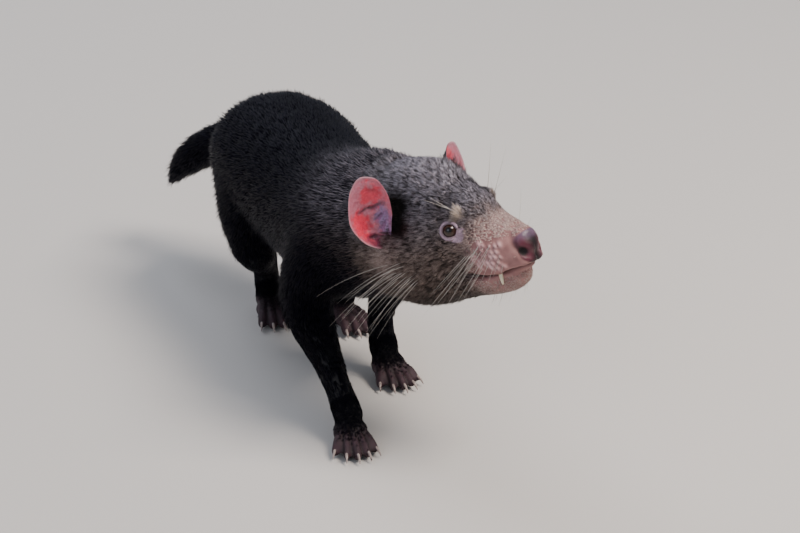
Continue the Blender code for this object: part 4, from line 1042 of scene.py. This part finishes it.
def tapered(rows, sides):
    """Points and faces of a closed round tube through (place, radius) rows, pointed at its end."""
    points, faces = [], []
    for i, (place, radius) in enumerate(rows):
        run = (rows[min(i + 1, len(rows) - 1)][0] - rows[max(i - 1, 0)][0]).normalized()
        flat = run.cross(Vector((0, 0, 1)))
        flat = flat.normalized() if flat.length > 1e-4 else Vector((1, 0, 0))
        over = flat.cross(run)
        for k in range(sides):
            a = 2 * math.pi * k / sides
            points.append(place + flat * radius * math.cos(a) + over * radius * math.sin(a))
    last = len(rows) - 1
    for i in range(last):
        for k in range(sides):
            a, b = i * sides + k, i * sides + (k + 1) % sides
            faces.append((a, b, b + sides, a + sides))
    faces.append(tuple(range(sides))[::-1])
    faces.append(tuple(last * sides + k for k in range(sides)))
    return points, faces


def joined(name, parts):
    """One mesh of several closed forms, each given as points and faces."""
    points, faces = [], []
    for some_points, some_faces in parts:
        faces += [tuple(i + len(points) for i in face) for face in some_faces]
        points += some_points
    return linked(name, mesh_of(name, points, faces))


horn, tree, shader = new_finish("claw_horn")
place = add(tree, "ShaderNodeTexCoord").outputs["Object"]
layers = add(tree, "ShaderNodeTexNoise", {"Vector": place, "Scale": 380.0, "Detail": 3.0})
tree.links.new(blended(tree, layers.outputs[0], hex_colour("#5a4744"), hex_colour("#bfb1aa")), shader.inputs["Base Color"])
shader.inputs["Roughness"].default_value = 0.38
for name, (x, y, heading) in FEET.items():
    heading = math.radians(heading)
    ahead = Vector((math.sin(heading), -math.cos(heading), 0))
    sideways = Vector((math.cos(heading), math.sin(heading), 0))
    forms = []
    for across_foot, reach in FORE_TOES if "fore" in name else HIND_TOES:
        tip = Vector((x, y, 0)) + sideways * across_foot + ahead * reach
        run = (sideways * across_foot * 0.45 + ahead * (reach - 0.012)).normalized()
        forms.append(tapered([(tip + run * along + Vector((0, 0, high)), radius) for along, high, radius in CLAW], 10))
    claws = joined("claws_" + name, forms)
    claws.data.materials.append(horn)
    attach(claws, "root")


# The whiskers: stiff pale hairs from the muzzle's follicles, the cheeks and over the eyes. They
# are drawn about twice as thick as real ones, or they would not show at the picture's size.
WHISKER_RADIUS = 0.00025
BROW_ROOTS = {"front": (0.0640, 0.0250, 0.0280), "back": (0.0570, 0.0265, 0.0330)}
BROW_WHISKERS = {       # way in the head's axes, and length
    "left_front": ((0.42, 0.30, 0.95), 0.0455), "left_back": ((0.17, 0.30, 0.95), 0.043),
    "right_front": ((-0.55, -0.40, 0.65), 0.026), "right_back": ((-0.80, -0.35, 0.50), 0.022),
}
whisker_hair, tree, shader = new_finish("whisker_hair")
along_it = add(tree, "ShaderNodeTexCoord").outputs["Object"]
fade = add(tree, "ShaderNodeTexNoise", {"Vector": along_it, "Scale": 45.0})
tree.links.new(blended(tree, fade.outputs[0], hex_colour("#8a7f76"), hex_colour("#f4eee4")), shader.inputs["Base Color"])
shader.inputs["Roughness"].default_value = 0.35

surface = BVHTree.FromPolygons([tuple(p) for p in points], [tuple(face.vertices) for face in skin_mesh.polygons])
draw = np.random.default_rng(11)


def whisker(forward, sideways, up, way, length, sag, radius=WHISKER_RADIUS):
    """A tapering hair from the nearest skin; way and sag are in the head's axes."""
    root = surface.find_nearest(in_head(forward, sideways, up))[0]
    way, drop = head_way(*way).normalized(), head_way(*sag)
    rows = []
    for i in range(9):
        t = i / 8
        rows.append((root + way * (length * t - 0.002 * (1 - t)) + drop * (length * t * t), radius * (1 - 0.85 * t)))
    return tapered(rows, 4)


hairs = []
for sign in (-1, 1):
    for forward, height, _ in follicles:
        back = np.clip((0.0985 - forward) / 0.030, 0, 1)
        if draw.uniform() < 0.60 - 0.45 * back:
            continue
        way = (-0.15 - 0.65 * back + draw.uniform(-0.15, 0.15), sign * (0.42 + draw.uniform(-0.12, 0.12)),
               -0.75 + draw.uniform(-0.20, 0.20))
        hairs.append(whisker(forward, sign * 0.024, height, way, 0.010 + 0.040 * back**1.1 * draw.uniform(0.7, 1.15),
                             (-0.20, sign * 0.03, -0.16), WHISKER_RADIUS * (0.7 + 0.5 * back)))
    for _ in range(19):
        high = draw.uniform(0, 1)
        hairs.append(whisker(draw.uniform(-0.002, 0.028), sign * 0.050, -0.030 + 0.024 * high,
                             (-0.98 + draw.uniform(-0.1, 0.1), sign * (0.32 + draw.uniform(-0.1, 0.1)),
                              -0.78 + 0.62 * high + draw.uniform(-0.14, 0.14)),
                             draw.uniform(0.052, 0.082), (0.02, sign * 0.02, -0.18), WHISKER_RADIUS * 0.85))
    for _ in range(9):
        hairs.append(whisker(draw.uniform(0.07, 0.095), sign * 0.010, -0.045,
                             (-0.3, sign * 0.2, -0.9), draw.uniform(0.006, 0.014), (-0.2, 0, 0), WHISKER_RADIUS * 0.6))
    for end, (forward, sideways, up_at) in BROW_ROOTS.items():
        way, long = BROW_WHISKERS[("right_" if sign < 0 else "left_") + end]
        hairs.append(whisker(forward, sign * sideways, up_at, way, long, (-0.04, 0, 0), WHISKER_RADIUS * 1.2))
for forward, sideways, way, long in ((0.062, 0.026, (-0.30, 0.40, 0.85), 0.017), (0.066, 0.022, (0.75, 0.35, 0.65), 0.020),
                                     (0.0995, 0.009, (-0.05, 0.45, 0.90), 0.031), (0.0985, 0.010, (0.02, 0.42, 0.92), 0.029),
                                     (0.110, 0.010, (0.45, 0.30, 0.75), 0.009), (0.112, 0.012, (0.75, 0.60, 0.10), 0.011)):
    hairs.append(whisker(forward, sideways, 0.030 if forward < 0.07 else 0.008, way, long, (0, 0, 0),
                         WHISKER_RADIUS * 0.6))
whiskers = joined("whiskers", hairs)
whiskers.data.materials.append(whisker_hair)
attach(whiskers, "root")
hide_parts(*(f"brow_whisker_{which}" for which in BROW_WHISKERS))
